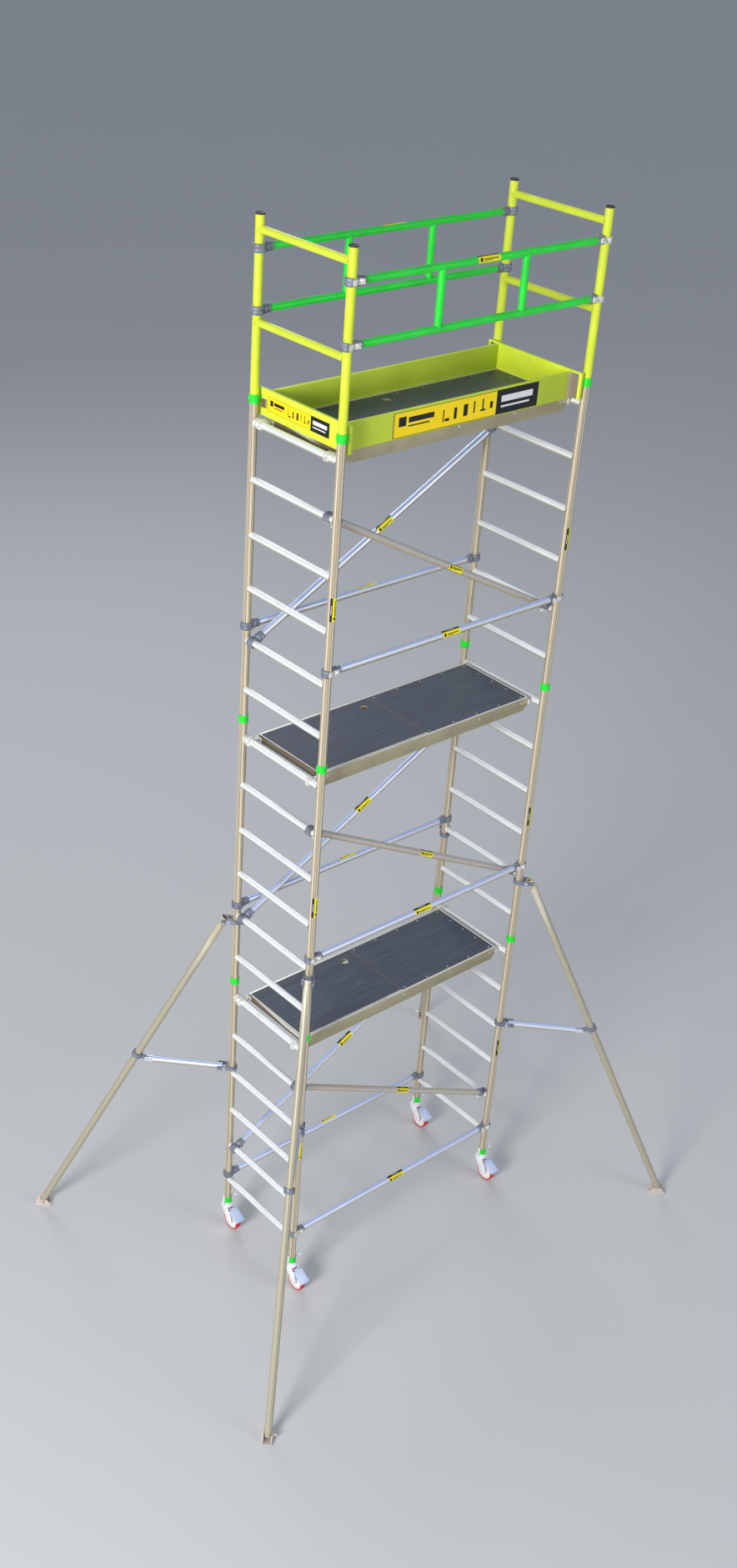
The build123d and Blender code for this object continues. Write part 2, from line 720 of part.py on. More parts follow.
# coupler: a ring that slides on the leg tube, with a lug towards the tower
with BuildPart() as coupler:
    ring_plane = Plane(origin=coupler_centre - along_tube * (coupler_length / 2), x_dir=inward,
                       z_dir=along_tube)
    with BuildSketch(ring_plane):
        Circle(clamp_radius)
    extrude(amount=coupler_length)
    with BuildSketch(Plane(origin=coupler_centre - Vector(0, coupler_lug_thickness / 2, 0), x_dir=inward,
                           z_dir=(0, 1, 0))):
        with Locations((coupler_lug_reach / 2, 0)):
            Rectangle(coupler_lug_reach, 2 * lug_radius)
        with Locations((coupler_lug_reach, 0)):
            Circle(lug_radius)
    extrude(amount=coupler_lug_thickness)
    with BuildSketch(ring_plane):
        Circle(outrigger_diameter / 2 + running_gap)
    extrude(amount=coupler_length, mode=Mode.SUBTRACT)

# strut: a tube with a forked head that straddles the coupler's lug
arm_offset = coupler_lug_thickness / 2 + fork_arm_gap
head_start = strut_end.X - fork_head_reach
arm_start = strut_end.X - fork_arm_reach
strut_tube = drilled_tube(lower_pivot - Vector(strut_inner_end, 0, 0), (head_start, 0, strut_end.Z),
                          strut_diameter, strut_wall, (lower_pivot,))
with BuildPart() as strut_head:
    with BuildSketch(Plane.YZ.offset(head_start)):
        with Locations((0, strut_end.Z)):
            Circle(strut_diameter / 2)
    extrude(amount=arm_start - head_start)
    for sy in (-1, 1):
        with BuildSketch(Plane.XZ.offset(arm_offset if sy < 0 else -arm_offset - fork_arm_thickness)):
            with Locations(((arm_start + strut_end.X) / 2, strut_end.Z)):
                Rectangle(strut_end.X - arm_start, 2 * lug_radius)
            with Locations((strut_end.X, strut_end.Z)):
                Circle(lug_radius)
        extrude(amount=fork_arm_thickness)
strut_bolts = []
for sy in (-1, 1):
    with BuildPart() as bolt_head:
        inner_face = arm_offset + fork_arm_thickness
        with BuildSketch(Plane.XZ.offset(inner_face if sy < 0 else -inner_face - fork_bolt_height)):
            with Locations((strut_end.X, strut_end.Z)):
                RegularPolygon(radius=fork_bolt_radius, side_count=6)
        extrude(amount=fork_bolt_height)
    strut_bolts.append(bolt_head.part)

# foot: a channel on a flat sole, pinned to the end of the leg tube
foot_inner = outrigger_diameter / 2 + foot_side_play
with BuildPart() as foot:
    with Locations((foot_pivot.X, 0, foot_plate / 2)):
        Box(foot_size[0], foot_size[1], foot_plate)
    for sy in (-1, 1):
        with BuildSketch(Plane.XZ.offset(-sy * (foot_inner + foot_cheek / 2))):
            top = foot_pivot_height + foot_cheek_rise
            with BuildLine():
                Polyline((foot_pivot.X - foot_size[0] / 2, 0), (foot_pivot.X + foot_size[0] / 2, 0),
                         (foot_pivot.X + foot_size[0] / 2, foot_plate + foot_cheek_shoulder),
                         (foot_pivot.X + foot_cheek_top / 2, top), (foot_pivot.X - foot_cheek_top / 2, top),
                         (foot_pivot.X - foot_size[0] / 2, foot_plate + foot_cheek_shoulder), close=True)
            make_face()
            with Locations((foot_pivot.X, foot_pivot_height)):
                Circle(outrigger_pin_radius + pin_gap, mode=Mode.SUBTRACT)
        extrude(amount=foot_cheek / 2, both=True)
# the foot's pin stands out on one side and ends in a low head on the other
foot_outer = foot_inner + foot_cheek
with BuildPart() as foot_pin:
    with BuildSketch(Plane(origin=foot_pivot - Vector(0, foot_outer, 0), z_dir=(0, 1, 0))):
        Circle(outrigger_pin_radius)
    extrude(amount=2 * foot_outer + foot_pin_overhang)
    with BuildSketch(Plane(origin=foot_pivot - Vector(0, foot_outer, 0), z_dir=(0, -1, 0))):
        Circle(foot_pin_head_radius)
    extrude(amount=foot_pin_head_height)

for name, (sx, sy) in corners.items():
    place = Location((sx * half_bay, sy * half_width, 0), (0, 0, degrees(atan2(sy, sx))))
    save(f"outrigger_{name}_clamps", [piece.moved(place) for piece in clamp_pieces])
    save(f"outrigger_{name}_tube", leg_tube.moved(place))
    save(f"outrigger_{name}_coupler", coupler.part.moved(place))
    save(f"outrigger_{name}_strut",
         [piece.moved(place) for piece in [strut_tube, strut_head.part] + strut_bolts])
    save(f"outrigger_{name}_foot", [piece.moved(place) for piece in (foot.part, foot_pin.part)])
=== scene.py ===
import json
from math import cos, pi, radians, sin, sqrt
import bmesh
import bpy
from mathutils import Matrix, Vector

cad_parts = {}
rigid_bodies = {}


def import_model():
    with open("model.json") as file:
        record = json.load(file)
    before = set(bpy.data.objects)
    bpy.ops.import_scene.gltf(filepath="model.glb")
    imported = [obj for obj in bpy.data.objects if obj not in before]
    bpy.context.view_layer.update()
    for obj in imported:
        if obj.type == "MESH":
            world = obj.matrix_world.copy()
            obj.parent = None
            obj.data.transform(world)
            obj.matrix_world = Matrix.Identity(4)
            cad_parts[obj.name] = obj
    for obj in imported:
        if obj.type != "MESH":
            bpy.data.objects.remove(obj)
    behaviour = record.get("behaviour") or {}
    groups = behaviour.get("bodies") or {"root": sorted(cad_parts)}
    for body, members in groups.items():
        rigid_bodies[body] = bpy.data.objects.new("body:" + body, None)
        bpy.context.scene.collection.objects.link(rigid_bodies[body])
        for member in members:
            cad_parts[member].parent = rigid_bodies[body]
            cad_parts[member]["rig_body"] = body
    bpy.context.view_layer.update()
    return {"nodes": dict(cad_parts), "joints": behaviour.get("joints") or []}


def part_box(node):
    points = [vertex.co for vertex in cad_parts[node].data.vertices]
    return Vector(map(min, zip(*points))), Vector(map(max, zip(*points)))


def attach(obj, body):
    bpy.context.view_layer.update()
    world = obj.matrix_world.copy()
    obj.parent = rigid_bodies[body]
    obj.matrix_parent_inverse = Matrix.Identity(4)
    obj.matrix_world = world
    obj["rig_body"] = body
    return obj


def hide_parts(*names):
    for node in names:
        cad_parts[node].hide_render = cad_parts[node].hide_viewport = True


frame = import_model()
nodes = frame["nodes"]
print("frame loaded:", len(nodes), "nodes")

# ---- the tower's own measures, read from the frame ----
jointAt = {j["name"]: Vector(j["pos_m"]) for j in frame["joints"] if "pos_m" in j}
cornerNames = ("front_left", "front_right", "back_left", "back_right")
uprightAt = {name: jointAt["swivel_" + name].xy for name in cornerNames}
halfBay = uprightAt["front_right"].x
halfWidth = uprightAt["back_left"].y
frameLow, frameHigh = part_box("base_frame_left")
frameHeight = frameHigh.z - frameLow.z
rungsPerFrame = 6
rungPitch = frameHeight / rungsPerFrame
firstRung = frameLow.z + 0.2
uprightRadius = (frameHigh.x - frameLow.x) / 2
rungRadius = 0.022
braceRadius = 0.022
railRadius = 0.021
diagonalY = halfWidth - 0.063  # the diagonals hook onto the rungs, inside the uprights
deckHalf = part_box("platform_frames")[1].y
deckRungs = {"lower": 5, "middle": 11, "top": 17}
deckRise = 0.035
boardSink = 0.002  # the boards lie a little below the beams' upper edges
lowClampZ, highClampZ = jointAt["strut_fold_front_left"].z, jointAt["outrigger_lift_front_left"].z


def rungHeight(index):
    return firstRung + index * rungPitch


def deckTop(name):
    return rungHeight(deckRungs[name]) + deckRise


# ---- shader maths as Python expressions ----
class Wire:
    def __init__(self, finish, socket):
        self.finish, self.socket = finish, socket

    def maths(self, operation, *others, swap=False):
        values = (self, *others)
        return self.finish.maths(operation, *(reversed(values) if swap else values))

    def __add__(self, other): return self.maths("ADD", other)
    def __radd__(self, other): return self.maths("ADD", other)
    def __sub__(self, other): return self.maths("SUBTRACT", other)
    def __rsub__(self, other): return self.maths("SUBTRACT", other, swap=True)
    def __mul__(self, other): return self.maths("MULTIPLY", other)
    def __rmul__(self, other): return self.maths("MULTIPLY", other)
    def __gt__(self, other): return self.maths("GREATER_THAN", other)
    def __lt__(self, other): return self.maths("LESS_THAN", other)
    def __abs__(self): return self.maths("ABSOLUTE")


class Finish:
    def __init__(self, name, **constants):
        self.material = bpy.data.materials.new(name)
        self.material.use_nodes = True
        self.tree = self.material.node_tree
        self.shader = self.tree.nodes["Principled BSDF"]
        self.put(self.shader, **constants)
        self.place = Wire(self, self.node("ShaderNodeTexCoord").outputs["Object"])
        parts = self.node("ShaderNodeSeparateXYZ", {}, Vector=self.place)
        self.x, self.y, self.z = (Wire(self, parts.outputs[axis]) for axis in "XYZ")
        facing = self.node("ShaderNodeNewGeometry").outputs["Normal"]
        sides = self.node("ShaderNodeSeparateXYZ", {}, Vector=Wire(self, facing))
        self.outward, self.across, self.up = (Wire(self, sides.outputs[axis]) for axis in "XYZ")

    def put(self, node, **sockets):
        # a socket goes by its name with underscores, or by its number as n0, n1 and so on
        for name, value in sockets.items():
            numbered = name[0] == "n" and name[1:].isdigit()
            socket = node.inputs[int(name[1:]) if numbered else name.replace("_", " ")]
            if isinstance(value, Wire):
                self.tree.links.new(value.socket, socket)
            else:
                socket.default_value = value

    def node(self, kind, settings=None, **sockets):
        node = self.tree.nodes.new(kind)
        for name, value in (settings or {}).items():
            setattr(node, name, value)
        self.put(node, **sockets)
        return node

    def maths(self, operation, *values):
        sockets = {f"n{i}": value for i, value in enumerate(values)}
        return Wire(self, self.node("ShaderNodeMath", {"operation": operation}, **sockets).outputs[0])

    def smooth(self, value, low, high):
        node = self.node("ShaderNodeMapRange", {"interpolation_type": "SMOOTHSTEP"},
                         Value=value, From_Min=low, From_Max=high)
        return Wire(self, node.outputs["Result"])

    def vector(self, x, y, z):
        return Wire(self, self.node("ShaderNodeCombineXYZ", {}, X=x, Y=y, Z=z).outputs[0])

    def noise(self, at, scale, detail=3.0, roughness=0.55):
        node = self.node("ShaderNodeTexNoise", {}, Vector=at, Scale=scale, Detail=detail, Roughness=roughness)
        return Wire(self, node.outputs["Fac"])

    def cells(self, at, scale):
        node = self.node("ShaderNodeTexVoronoi", {}, Vector=at, Scale=scale)
        return Wire(self, node.outputs["Distance"])

    def mix(self, mask, first, second):
        node = self.node("ShaderNodeMix", {"data_type": "RGBA"})
        self.put(node, n0=mask, n6=first, n7=second)
        return Wire(self, node.outputs[2])

    def colour(self, value): self.put(self.shader, Base_Color=value)
    def rough(self, value): self.put(self.shader, Roughness=value)

    def bump(self, height, strength, distance):
        node = self.node("ShaderNodeBump", {}, Strength=strength, Distance=distance, Height=height)
        self.put(self.shader, Normal=Wire(self, node.outputs["Normal"]))


def tint(red, green, blue):  # a screen colour, 0 to 255, as the linear one that shaders use
    linear = (((c / 255 + 0.055) / 1.055) ** 2.4 if c > 10 else c / 3294 for c in (red, green, blue))
    return (*linear, 1.0)


# ---- finishes ----
def fluted(f, across, up, along, count):
    # long flutes and bands round an extruded tube: across and up are measured from its centre line; the
    # flutes take painted shade and the bands painted reflections
    turn = f.maths("ARCTAN2", up, across)
    groove = f.smooth(f.maths("COSINE", turn * count), 0.55, 0.97)
    band = f.smooth(f.maths("SINE", turn * (count / 2) + 0.6), -0.35, 0.35)
    drawn = f.noise(f.vector(across * 900, up * 900, along * 3), 1.0, 2.0)
    return groove, band, drawn


# colours of painted light: tan and rose are painted reflection bands and groove is painted shade in the
# flutes; the rung's top colour is a painted highlight, and its under and line colours are painted shade
extruded = {"tan": tint(188, 178, 146), "rose": tint(226, 210, 190), "groove": tint(116, 104, 80),
            "rungLitTop": tint(248, 251, 249), "rungShadedUnder": tint(190, 178, 154), "rungGrooveShade": tint(128, 128, 118)}


def frameFinish():
    f = Finish("extrudedFrameTube", Metallic=0.3)
    dx = abs(f.x) - halfBay
    dy = abs(f.y) - halfWidth
    groove, band, drawn = fluted(f, dx, dy, f.z, 10)
    onUpright = f.maths("SQRT", dx * dx + dy * dy) < uprightRadius + 0.0008
    # uprights: painted shade in the flutes, with tan and rose painted reflection bands between them
    upright = f.mix(groove * 0.75, f.mix(band, extruded["tan"], extruded["rose"]), extruded["groove"])
    fromRung = f.maths("WRAP", f.z - firstRung, rungPitch / 2, -rungPitch / 2)
    turn = f.maths("ARCTAN2", fromRung, dx)
    rib = f.smooth(f.maths("COSINE", turn * 18), 0.7, 0.98)
    seam = f.smooth(abs(fromRung + 0.006), 0.0016, 0.0004)
    rungDrawn = f.noise(f.vector(dx * 900, f.y * 4, fromRung * 900), 1.0, 2.0)
    # rungs: a painted highlight on top and painted warm shade underneath, then painted shade in the ribs and
    # the seam line
    rung = f.mix(f.smooth(f.up, -0.42, -0.05), extruded["rungShadedUnder"], extruded["rungLitTop"])
    rung = f.mix(f.maths("MAXIMUM", rib * 0.16, seam * 0.85), rung, extruded["rungGrooveShade"])
    stain = f.smooth(f.noise(f.place, 9.0, 4.0), 0.55, 0.8) * 0.14
    f.colour(f.mix(stain, f.mix(onUpright, rung, upright), tint(120, 110, 92)))
    streak = drawn * onUpright + rungDrawn * (1 - onUpright)
    f.rough(0.26 + streak * 0.18 + stain * 0.6)
    relief = (1 - groove * 1.5) * onUpright + (1 - rib * 0.3 - seam) * (1 - onUpright)
    f.bump(relief + streak * 0.03, 0.6, 0.001)
    return f.material


def braceFinish():
    # smooth drawn tube: a cool painted sky reflection on top and painted warm shade underneath
    f = Finish("drawnBraceTube", Metallic=0.4)
    streak = f.noise(f.vector(f.x * 2.2, f.y * 420, f.z * 30), 1.0, 3.0)
    cloud = f.noise(f.place, 5.0, 4.0)
    scuff = f.smooth(f.noise(f.place, 60.0, 3.0), 0.66, 0.74) * f.smooth(cloud, 0.45, 0.6)
    # painted warm shade on the underside, painted light on top
    base = f.mix(f.smooth(f.up, -0.25, 0.1), tint(182, 164, 134), tint(226, 230, 236))
    # the front diagonals get a warmer painted reflection on their tops than the others
    frontSlope = f.smooth(abs(f.y + diagonalY), 0.032, 0.026)
    paintedSkyTop = f.mix(frontSlope, tint(200, 212, 244), tint(222, 214, 204))
    base = f.mix(f.smooth(f.up, 0.3, 0.75), base, paintedSkyTop)
    base = f.mix(frontSlope * 0.6, base, tint(208, 194, 174))
    f.colour(f.mix(scuff * 0.4, base, tint(120, 118, 114)))
    f.rough(0.22 + streak * 0.14 + scuff * 0.25)
    f.bump(streak * 0.5 - scuff, 0.25, 0.0004)
    return f.material


def castFinish():
    f = Finish("castSlate", Metallic=0.3)
    grain = f.noise(f.place, 420.0, 4.0, 0.6)
    cloud = f.noise(f.place, 22.0, 3.0)
    wear = f.smooth(f.noise(f.place, 130.0, 4.0), 0.6, 0.72)
    base = f.mix(f.smooth(cloud, 0.3, 0.7), tint(108, 113, 126), tint(136, 142, 156))
    f.colour(f.mix(wear * 0.4, base, tint(184, 188, 196)))
    f.rough(0.42 + grain * 0.2 - wear * 0.12)
    f.bump(grain + cloud * 0.6, 0.5, 0.0006)
    return f.material


def brightCastFinish():
    f = Finish("brightCast", Metallic=0.35)
    grain = f.noise(f.place, 380.0, 4.0, 0.6)
    cloud = f.noise(f.place, 30.0, 3.0)
    f.colour(f.mix(f.smooth(cloud, 0.35, 0.7), tint(238, 238, 232), tint(206, 204, 196)))
    f.rough(0.28 + grain * 0.2)
    f.bump(grain, 0.45, 0.0005)
    return f.material


def paintFinish(name, bright, deep, roughness=0.3):
    # powder coat: fine orange peel, faint dust and a few small chips
    f = Finish(name, Coat_Roughness=0.12, Specular_IOR_Level=0.5)
    peel = f.noise(f.place, 340.0, 2.0)
    cloud = f.noise(f.place, 6.0, 4.0)
    chips = f.smooth(f.noise(f.place, 150.0, 2.0), 0.745, 0.76) * f.smooth(cloud, 0.5, 0.62)
    base = f.mix(f.smooth(cloud, 0.3, 0.72), bright, deep)
    f.colour(f.mix(chips, base, tint(150, 150, 142)))
    f.rough(roughness + peel * 0.1 + f.smooth(cloud, 0.5, 0.7) * 0.08)
    f.bump(peel * 0.4 - chips, 0.35, 0.0005)
    f.put(f.shader, Coat_Weight=0.2)
    return f.material


def plasticFinish(name, bright, deep, roughness=0.42):
    f = Finish(name)
    grain = f.noise(f.place, 900.0, 2.0)
    cloud = f.noise(f.place, 30.0, 3.0)
    f.colour(f.mix(f.smooth(cloud, 0.3, 0.7), bright, deep))
    f.rough(roughness + grain * 0.12)
    f.bump(grain, 0.3, 0.0003)
    return f.material


def boardFinish():
    # lime paint over ply: the grain telegraphs through, dust lies in patches, and the long faces carry
    # painted shade
    f = Finish("limeBoard", Specular_IOR_Level=0.35)
    grain = f.noise(f.vector(f.x * 3.5 + f.y * 3.5, f.y * 0.6, f.z * 85), 1.0, 4.0)
    cloud = f.noise(f.place, 3.0, 4.0)
    dust = f.smooth(f.noise(f.place, 14.0, 4.0), 0.52, 0.78) * 0.16
    # painted shade: the long faces are darker than the ends
    longFace = f.smooth(abs(f.across), 0.6, 0.9)
    base = f.mix(f.smooth(cloud, 0.3, 0.7), tint(228, 246, 62), tint(216, 234, 56))
    base = f.mix(longFace, base, f.mix(f.smooth(cloud, 0.3, 0.7), tint(190, 210, 60), tint(180, 198, 54)))
    f.colour(f.mix(dust, base, tint(170, 178, 96)))
    f.rough(0.46 + grain * 0.16 + dust * 0.4)
    f.bump(grain * 0.5 + f.noise(f.place, 300.0, 2.0) * 0.3, 0.3, 0.0006)
    return f.material


def deckFinish():
    # film-faced ply: long streaks along the deck and a pressed wire-mesh grip
    f = Finish("filmFacedPly", Specular_IOR_Level=0.5)
    streak = f.noise(f.vector(f.x * 2.4, f.y * 130, f.z * 8), 1.0, 5.0, 0.6)
    bend = f.noise(f.vector(f.x * 1.1, f.y * 3, f.z), 1.0, 2.0)
    broad = f.noise(f.vector(f.x * 1.2, (f.y + bend * 0.12) * 24, f.z), 1.0, 3.0)
    meshLines = f.maths("MAXIMUM", f.maths("SINE", (f.x + f.y) * 900), f.maths("SINE", (f.x - f.y) * 900))
    grip = f.smooth(meshLines, 0.6, 1.0)
    base = f.mix(f.smooth(streak, 0.4, 0.72), tint(54, 60, 70), tint(88, 97, 112))
    base = f.mix(f.smooth(broad, 0.42, 0.66) * 0.55, base, tint(70, 79, 94))
    worn = f.smooth(f.noise(f.place, 9.0, 5.0), 0.56, 0.8)
    base = f.mix(worn * 0.25, base, tint(126, 134, 148))
    base = f.mix(grip * 0.28, base, tint(112, 122, 138))
    # chamfers and edges: the ply's own tan edge, partly lightened as a painted highlight along the seams
    edge = f.smooth(abs(f.up), 0.9, 0.6)
    f.colour(f.mix(edge, base, f.mix(streak, tint(176, 160, 134), tint(132, 112, 86))))
    f.rough(0.44 - grip * 0.08 + worn * 0.14)
    f.bump(grip * 0.8 + streak * 0.5, 0.55, 0.0007)
    return f.material


def beamFinish():
    # extruded side beams: bright upper edge as a painted highlight, dull khaki faces
    f = Finish("platformBeam", Metallic=0.35)
    drawn = f.noise(f.vector(f.x * 1.2, f.y * 300, f.z * 420), 1.0, 3.0)
    cloud = f.noise(f.place, 4.0, 4.0)
    scratch = f.smooth(f.noise(f.vector(f.x * 8, f.y * 30, f.z * 140), 1.0, 4.0), 0.68, 0.76)
    base = f.mix(f.smooth(cloud, 0.32, 0.7), tint(184, 174, 142), tint(168, 159, 128))
    base = f.mix(f.smooth(abs(f.outward), 0.6, 0.95), base, tint(122, 108, 90))
    # painted highlight on the upward faces
    base = f.mix(f.smooth(f.up, 0.25, 0.7), base, tint(232, 231, 222))
    f.colour(f.mix(scratch * 0.5, base, tint(226, 222, 212)))
    f.rough(0.36 + drawn * 0.16 - scratch * 0.1)
    f.bump(drawn - scratch, 0.3, 0.0004)
    return f.material


def legFinish(name):
    # two pale strips of painted highlight and a ridge run down the leg, with painted reflection bands and
    # painted shade in the flutes, so the pattern is first turned to the leg's own slope
    f = Finish("legTube_" + name, Metallic=0.25)
    top, foot = jointAt["outrigger_lift_" + name], jointAt["foot_pivot_" + name]
    slope = (foot - top).normalized()
    sideways = slope.cross(Vector((0, 0, 1))).normalized()
    alongLeg = Matrix((sideways, sideways.cross(slope), slope))
    mapping = f.node("ShaderNodeMapping", {"vector_type": "TEXTURE"}, Vector=f.place, Location=top,
                     Rotation=alongLeg.transposed().to_euler())
    parts = f.node("ShaderNodeSeparateXYZ", {}, Vector=Wire(f, mapping.outputs[0]))
    across, up, along = (Wire(f, parts.outputs[axis]) for axis in "XYZ")
    groove, band, drawn = fluted(f, across, up, along, 8)
    # a painted highlight in two strips on the leg's upper side
    flat = f.smooth(abs(abs(across) - 0.0085), 0.0085, 0.005) * f.smooth(up, -0.008, 0.0)
    # painted reflection bands, then painted shade in the flutes
    base = f.mix(band, tint(196, 188, 160), tint(212, 205, 184))
    base = f.mix(flat * 0.8, base, tint(232, 231, 235))
    base = f.mix(groove * 0.5, base, tint(138, 131, 104))
    dust = f.smooth(f.noise(f.place, 12.0, 4.0), 0.55, 0.8) * 0.25
    f.colour(f.mix(dust, base, tint(134, 124, 104)))
    f.rough(0.28 + drawn * 0.2 + dust * 0.3)
    f.bump((1 - groove) + drawn * 0.1, 0.65, 0.001)
    return f.material


def steelFinish(name, bright, deep, metallic, roughness):
    f = Finish(name, Metallic=metallic)
    spangle = f.cells(f.place, 240.0)
    fine = f.noise(f.place, 500.0, 3.0)
    grime = f.smooth(f.noise(f.place, 26.0, 4.0), 0.55, 0.75)
    base = f.mix(f.smooth(spangle, 0.1, 0.8) * 0.5, bright, deep)
    f.colour(f.mix(grime * 0.35, base, tint(130, 122, 110)))
    f.rough(roughness + fine * 0.12 + grime * 0.15)
    f.bump(fine * 0.6 + spangle * 0.3, 0.3, 0.0004)
    return f.material


def hingeFinish():
    # long strip hinge: short knuckles along the pin, shown as fine dark gaps of painted shade
    f = Finish("stripHinge", Metallic=0.55)
    gap = f.smooth(abs(f.maths("WRAP", f.x, 0.015, -0.015)), 0.0138, 0.0146)
    fine = f.noise(f.vector(f.x * 6, f.y * 500, f.z * 500), 1.0, 3.0)
    base = f.mix(fine * 0.4, tint(150, 155, 162), tint(118, 123, 131))
    base = f.mix(f.smooth(f.y, -0.282, -0.285), base, tint(214, 214, 206))
    # painted shade in the gaps between knuckles
    f.colour(f.mix(gap * 0.6, base, tint(70, 70, 70)))
    f.rough(0.28 + fine * 0.16)
    f.bump(fine * 0.3 - gap, 0.4, 0.0006)
    return f.material


def tyreFinish():
    f = Finish("redTread", Specular_IOR_Level=0.5)
    grain = f.noise(f.place, 600.0, 3.0)
    scuff = f.smooth(f.noise(f.place, 70.0, 4.0), 0.58, 0.7)
    f.colour(f.mix(scuff * 0.3, tint(206, 20, 26), tint(132, 40, 38)))
    f.rough(0.34 + scuff * 0.25 + grain * 0.1)
    f.bump(grain - scuff * 0.4, 0.35, 0.0005)
    return f.material


def stickerFinish(name, dark, bars, yellows):
    # a plain two-colour plate: yellow field, one dark block, and plain bars on both
    f = Finish(name, Specular_IOR_Level=0.5)
    uv = f.node("ShaderNodeUVMap", {"uv_map": "UVMap"})
    parts = f.node("ShaderNodeSeparateXYZ", {}, Vector=Wire(f, uv.outputs[0]))
    u, v = Wire(f, parts.outputs["X"]), Wire(f, parts.outputs["Y"])

    def block(u0, u1, v0, v1):
        return (u > u0) * (u < u1) * (v > v0) * (v < v1)

    def blocks(places):
        mask = block(*places[0])
        for place in places[1:]:
            mask = f.maths("MAXIMUM", mask, block(*place))
        return mask

    fade = f.noise(f.place, 40.0, 3.0)
    base = f.mix(fade * 0.4, *yellows)
    rim = 1 - block(bars["rim"], 1 - bars["rim"], bars["rim"] * 4, 1 - bars["rim"] * 4)
    base = f.mix(rim, base, tint(96, 84, 16))
    base = f.mix(f.maths("MAXIMUM", blocks(bars["ink"]), block(*dark)), base, tint(22, 22, 22))
    f.colour(f.mix(blocks(bars["pale"]), base, tint(225, 225, 222)))
    f.rough(0.3 + fade * 0.14)
    f.bump(fade, 0.15, 0.0002)
    return f.material


finishes = {
    "frame": frameFinish(), "brace": braceFinish(), "cast": castFinish(), "bright": brightCastFinish(),
    "yellow": paintFinish("guardYellow", tint(216, 230, 58), tint(204, 218, 52)),
    "green": paintFinish("railGreen", tint(34, 226, 60), tint(26, 206, 52)),
    "ring": plasticFinish("ringGreen", tint(30, 236, 52), tint(24, 208, 44)),
    "cap": plasticFinish("capBlack", tint(66, 64, 62), tint(44, 43, 44), 0.5),
    "board": boardFinish(), "deck": deckFinish(), "beam": beamFinish(), "hinge": hingeFinish(),
    "white": paintFinish("castorWhite", tint(244, 244, 246), tint(228, 229, 234), roughness=0.26),
    "nylon": plasticFinish("nylonWhite", tint(246, 246, 244), tint(228, 228, 226), 0.36),
    "pedal": paintFinish("pedalBlue", tint(206, 218, 248), tint(190, 204, 238), roughness=0.3),
    "tyre": tyreFinish(),
    "red": plasticFinish("pedalRed", tint(214, 40, 44), tint(188, 30, 32)),
    "zinc": steelFinish("zincPlate", tint(214, 216, 220), tint(176, 178, 184), 0.5, 0.28),
    "galvanised": steelFinish("galvanisedPlate", tint(228, 216, 208), tint(196, 184, 174), 0.4, 0.36),
    "weld": steelFinish("weldBead", tint(200, 196, 184), tint(160, 154, 140), 0.5, 0.42),
}
cadFinish = {"guard_frames": "yellow", "frame_spigots": "zinc", "lock_rings": "ring", "post_caps": "cap",
             "horizontal_braces": "brace", "diagonal_braces": "brace", "guardrails": "green",
             "snap_hooks": "cast", "platform_frames": "beam", "deck_panels": "deck", "hatch_hinges": "hinge",
             "platform_hooks": "bright", "toe_boards": "board", "toe_board_clips": "beam",
             "castor_stems": "white"}
partFinish = {"fork": "white", "hub": "nylon", "tyre": "tyre", "pedal": "pedal", "clamps": "cast",
              "coupler": "cast", "strut": "brace", "foot": "galvanised"}
legFinishes = {}
for name in nodes:
    key = cadFinish.get(name) or partFinish.get(name.split("_")[-1])
    if "_frame_" in name:
        key = "frame"
    elif name in ("hatch_lower", "hatch_middle", "hatch_top"):
        key = "deck"
    if name.endswith("_tube"):
        corner = name.removeprefix("outrigger_").removesuffix("_tube")
        coat = legFinishes[corner] = legFinish(corner)
    else:
        coat = finishes[key]
    nodes[name].data.materials.clear()
    nodes[name].data.materials.append(coat)
print("finishes made:", len(finishes))


# ---- building pieces ----
def piece(name, bm, finish, body="tower", sharp=35, replaced=()):
    mesh = bpy.data.meshes.new(name)
    bmesh.ops.recalc_face_normals(bm, faces=bm.faces)
    bm.to_mesh(mesh)
    bm.free()
    mesh.shade_smooth()
    mesh.set_sharp_from_angle(angle=radians(sharp))
    made = bpy.data.objects.new(name, mesh)
    bpy.context.scene.collection.objects.link(made)
    mesh.materials.append(finish if not isinstance(finish, str) else finishes[finish])
    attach(made, body)
    if replaced:
        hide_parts(*replaced)
    return made


def scatter(shape, places):
    # copies of one small bmesh at each place, in one new bmesh
    source = bpy.data.meshes.new("source")
    shape.to_mesh(source)
    shape.free()
    many = bmesh.new()
    for place in places:
        known = len(many.verts)
        many.from_mesh(source)
        many.verts.ensure_lookup_table()
        bmesh.ops.transform(many, matrix=place, verts=many.verts[known:])
    bpy.data.meshes.remove(source)
    return many


def bevelSharp(bm, width, segments=2, over=35):
    edges = [e for e in bm.edges if e.is_manifold and e.calc_face_angle(0) > radians(over)]
    bmesh.ops.bevel(bm, geom=edges, offset=width, offset_type="OFFSET", segments=segments, profile=0.5,
                    affect="EDGES", material=-1, clamp_overlap=True)


def block(size, at=(0, 0, 0), bevel=0.0, segments=2):
    bm = bmesh.new()
    bmesh.ops.create_cube(bm, size=1.0)
    bmesh.ops.scale(bm, vec=size, verts=bm.verts)
    if bevel:
        bevelSharp(bm, bevel, segments)
    bmesh.ops.translate(bm, vec=at, verts=bm.verts)
    return bm


def outlineRing(outline):
    # a closed outline of (radius, height) points, standing in the XZ plane
    bm = bmesh.new()
    corners = [bm.verts.new((r, 0, h)) for r, h in outline]
    edges = [bm.edges.new((corners[i - 1], corners[i])) for i in range(len(corners))]
    return bm, corners + edges


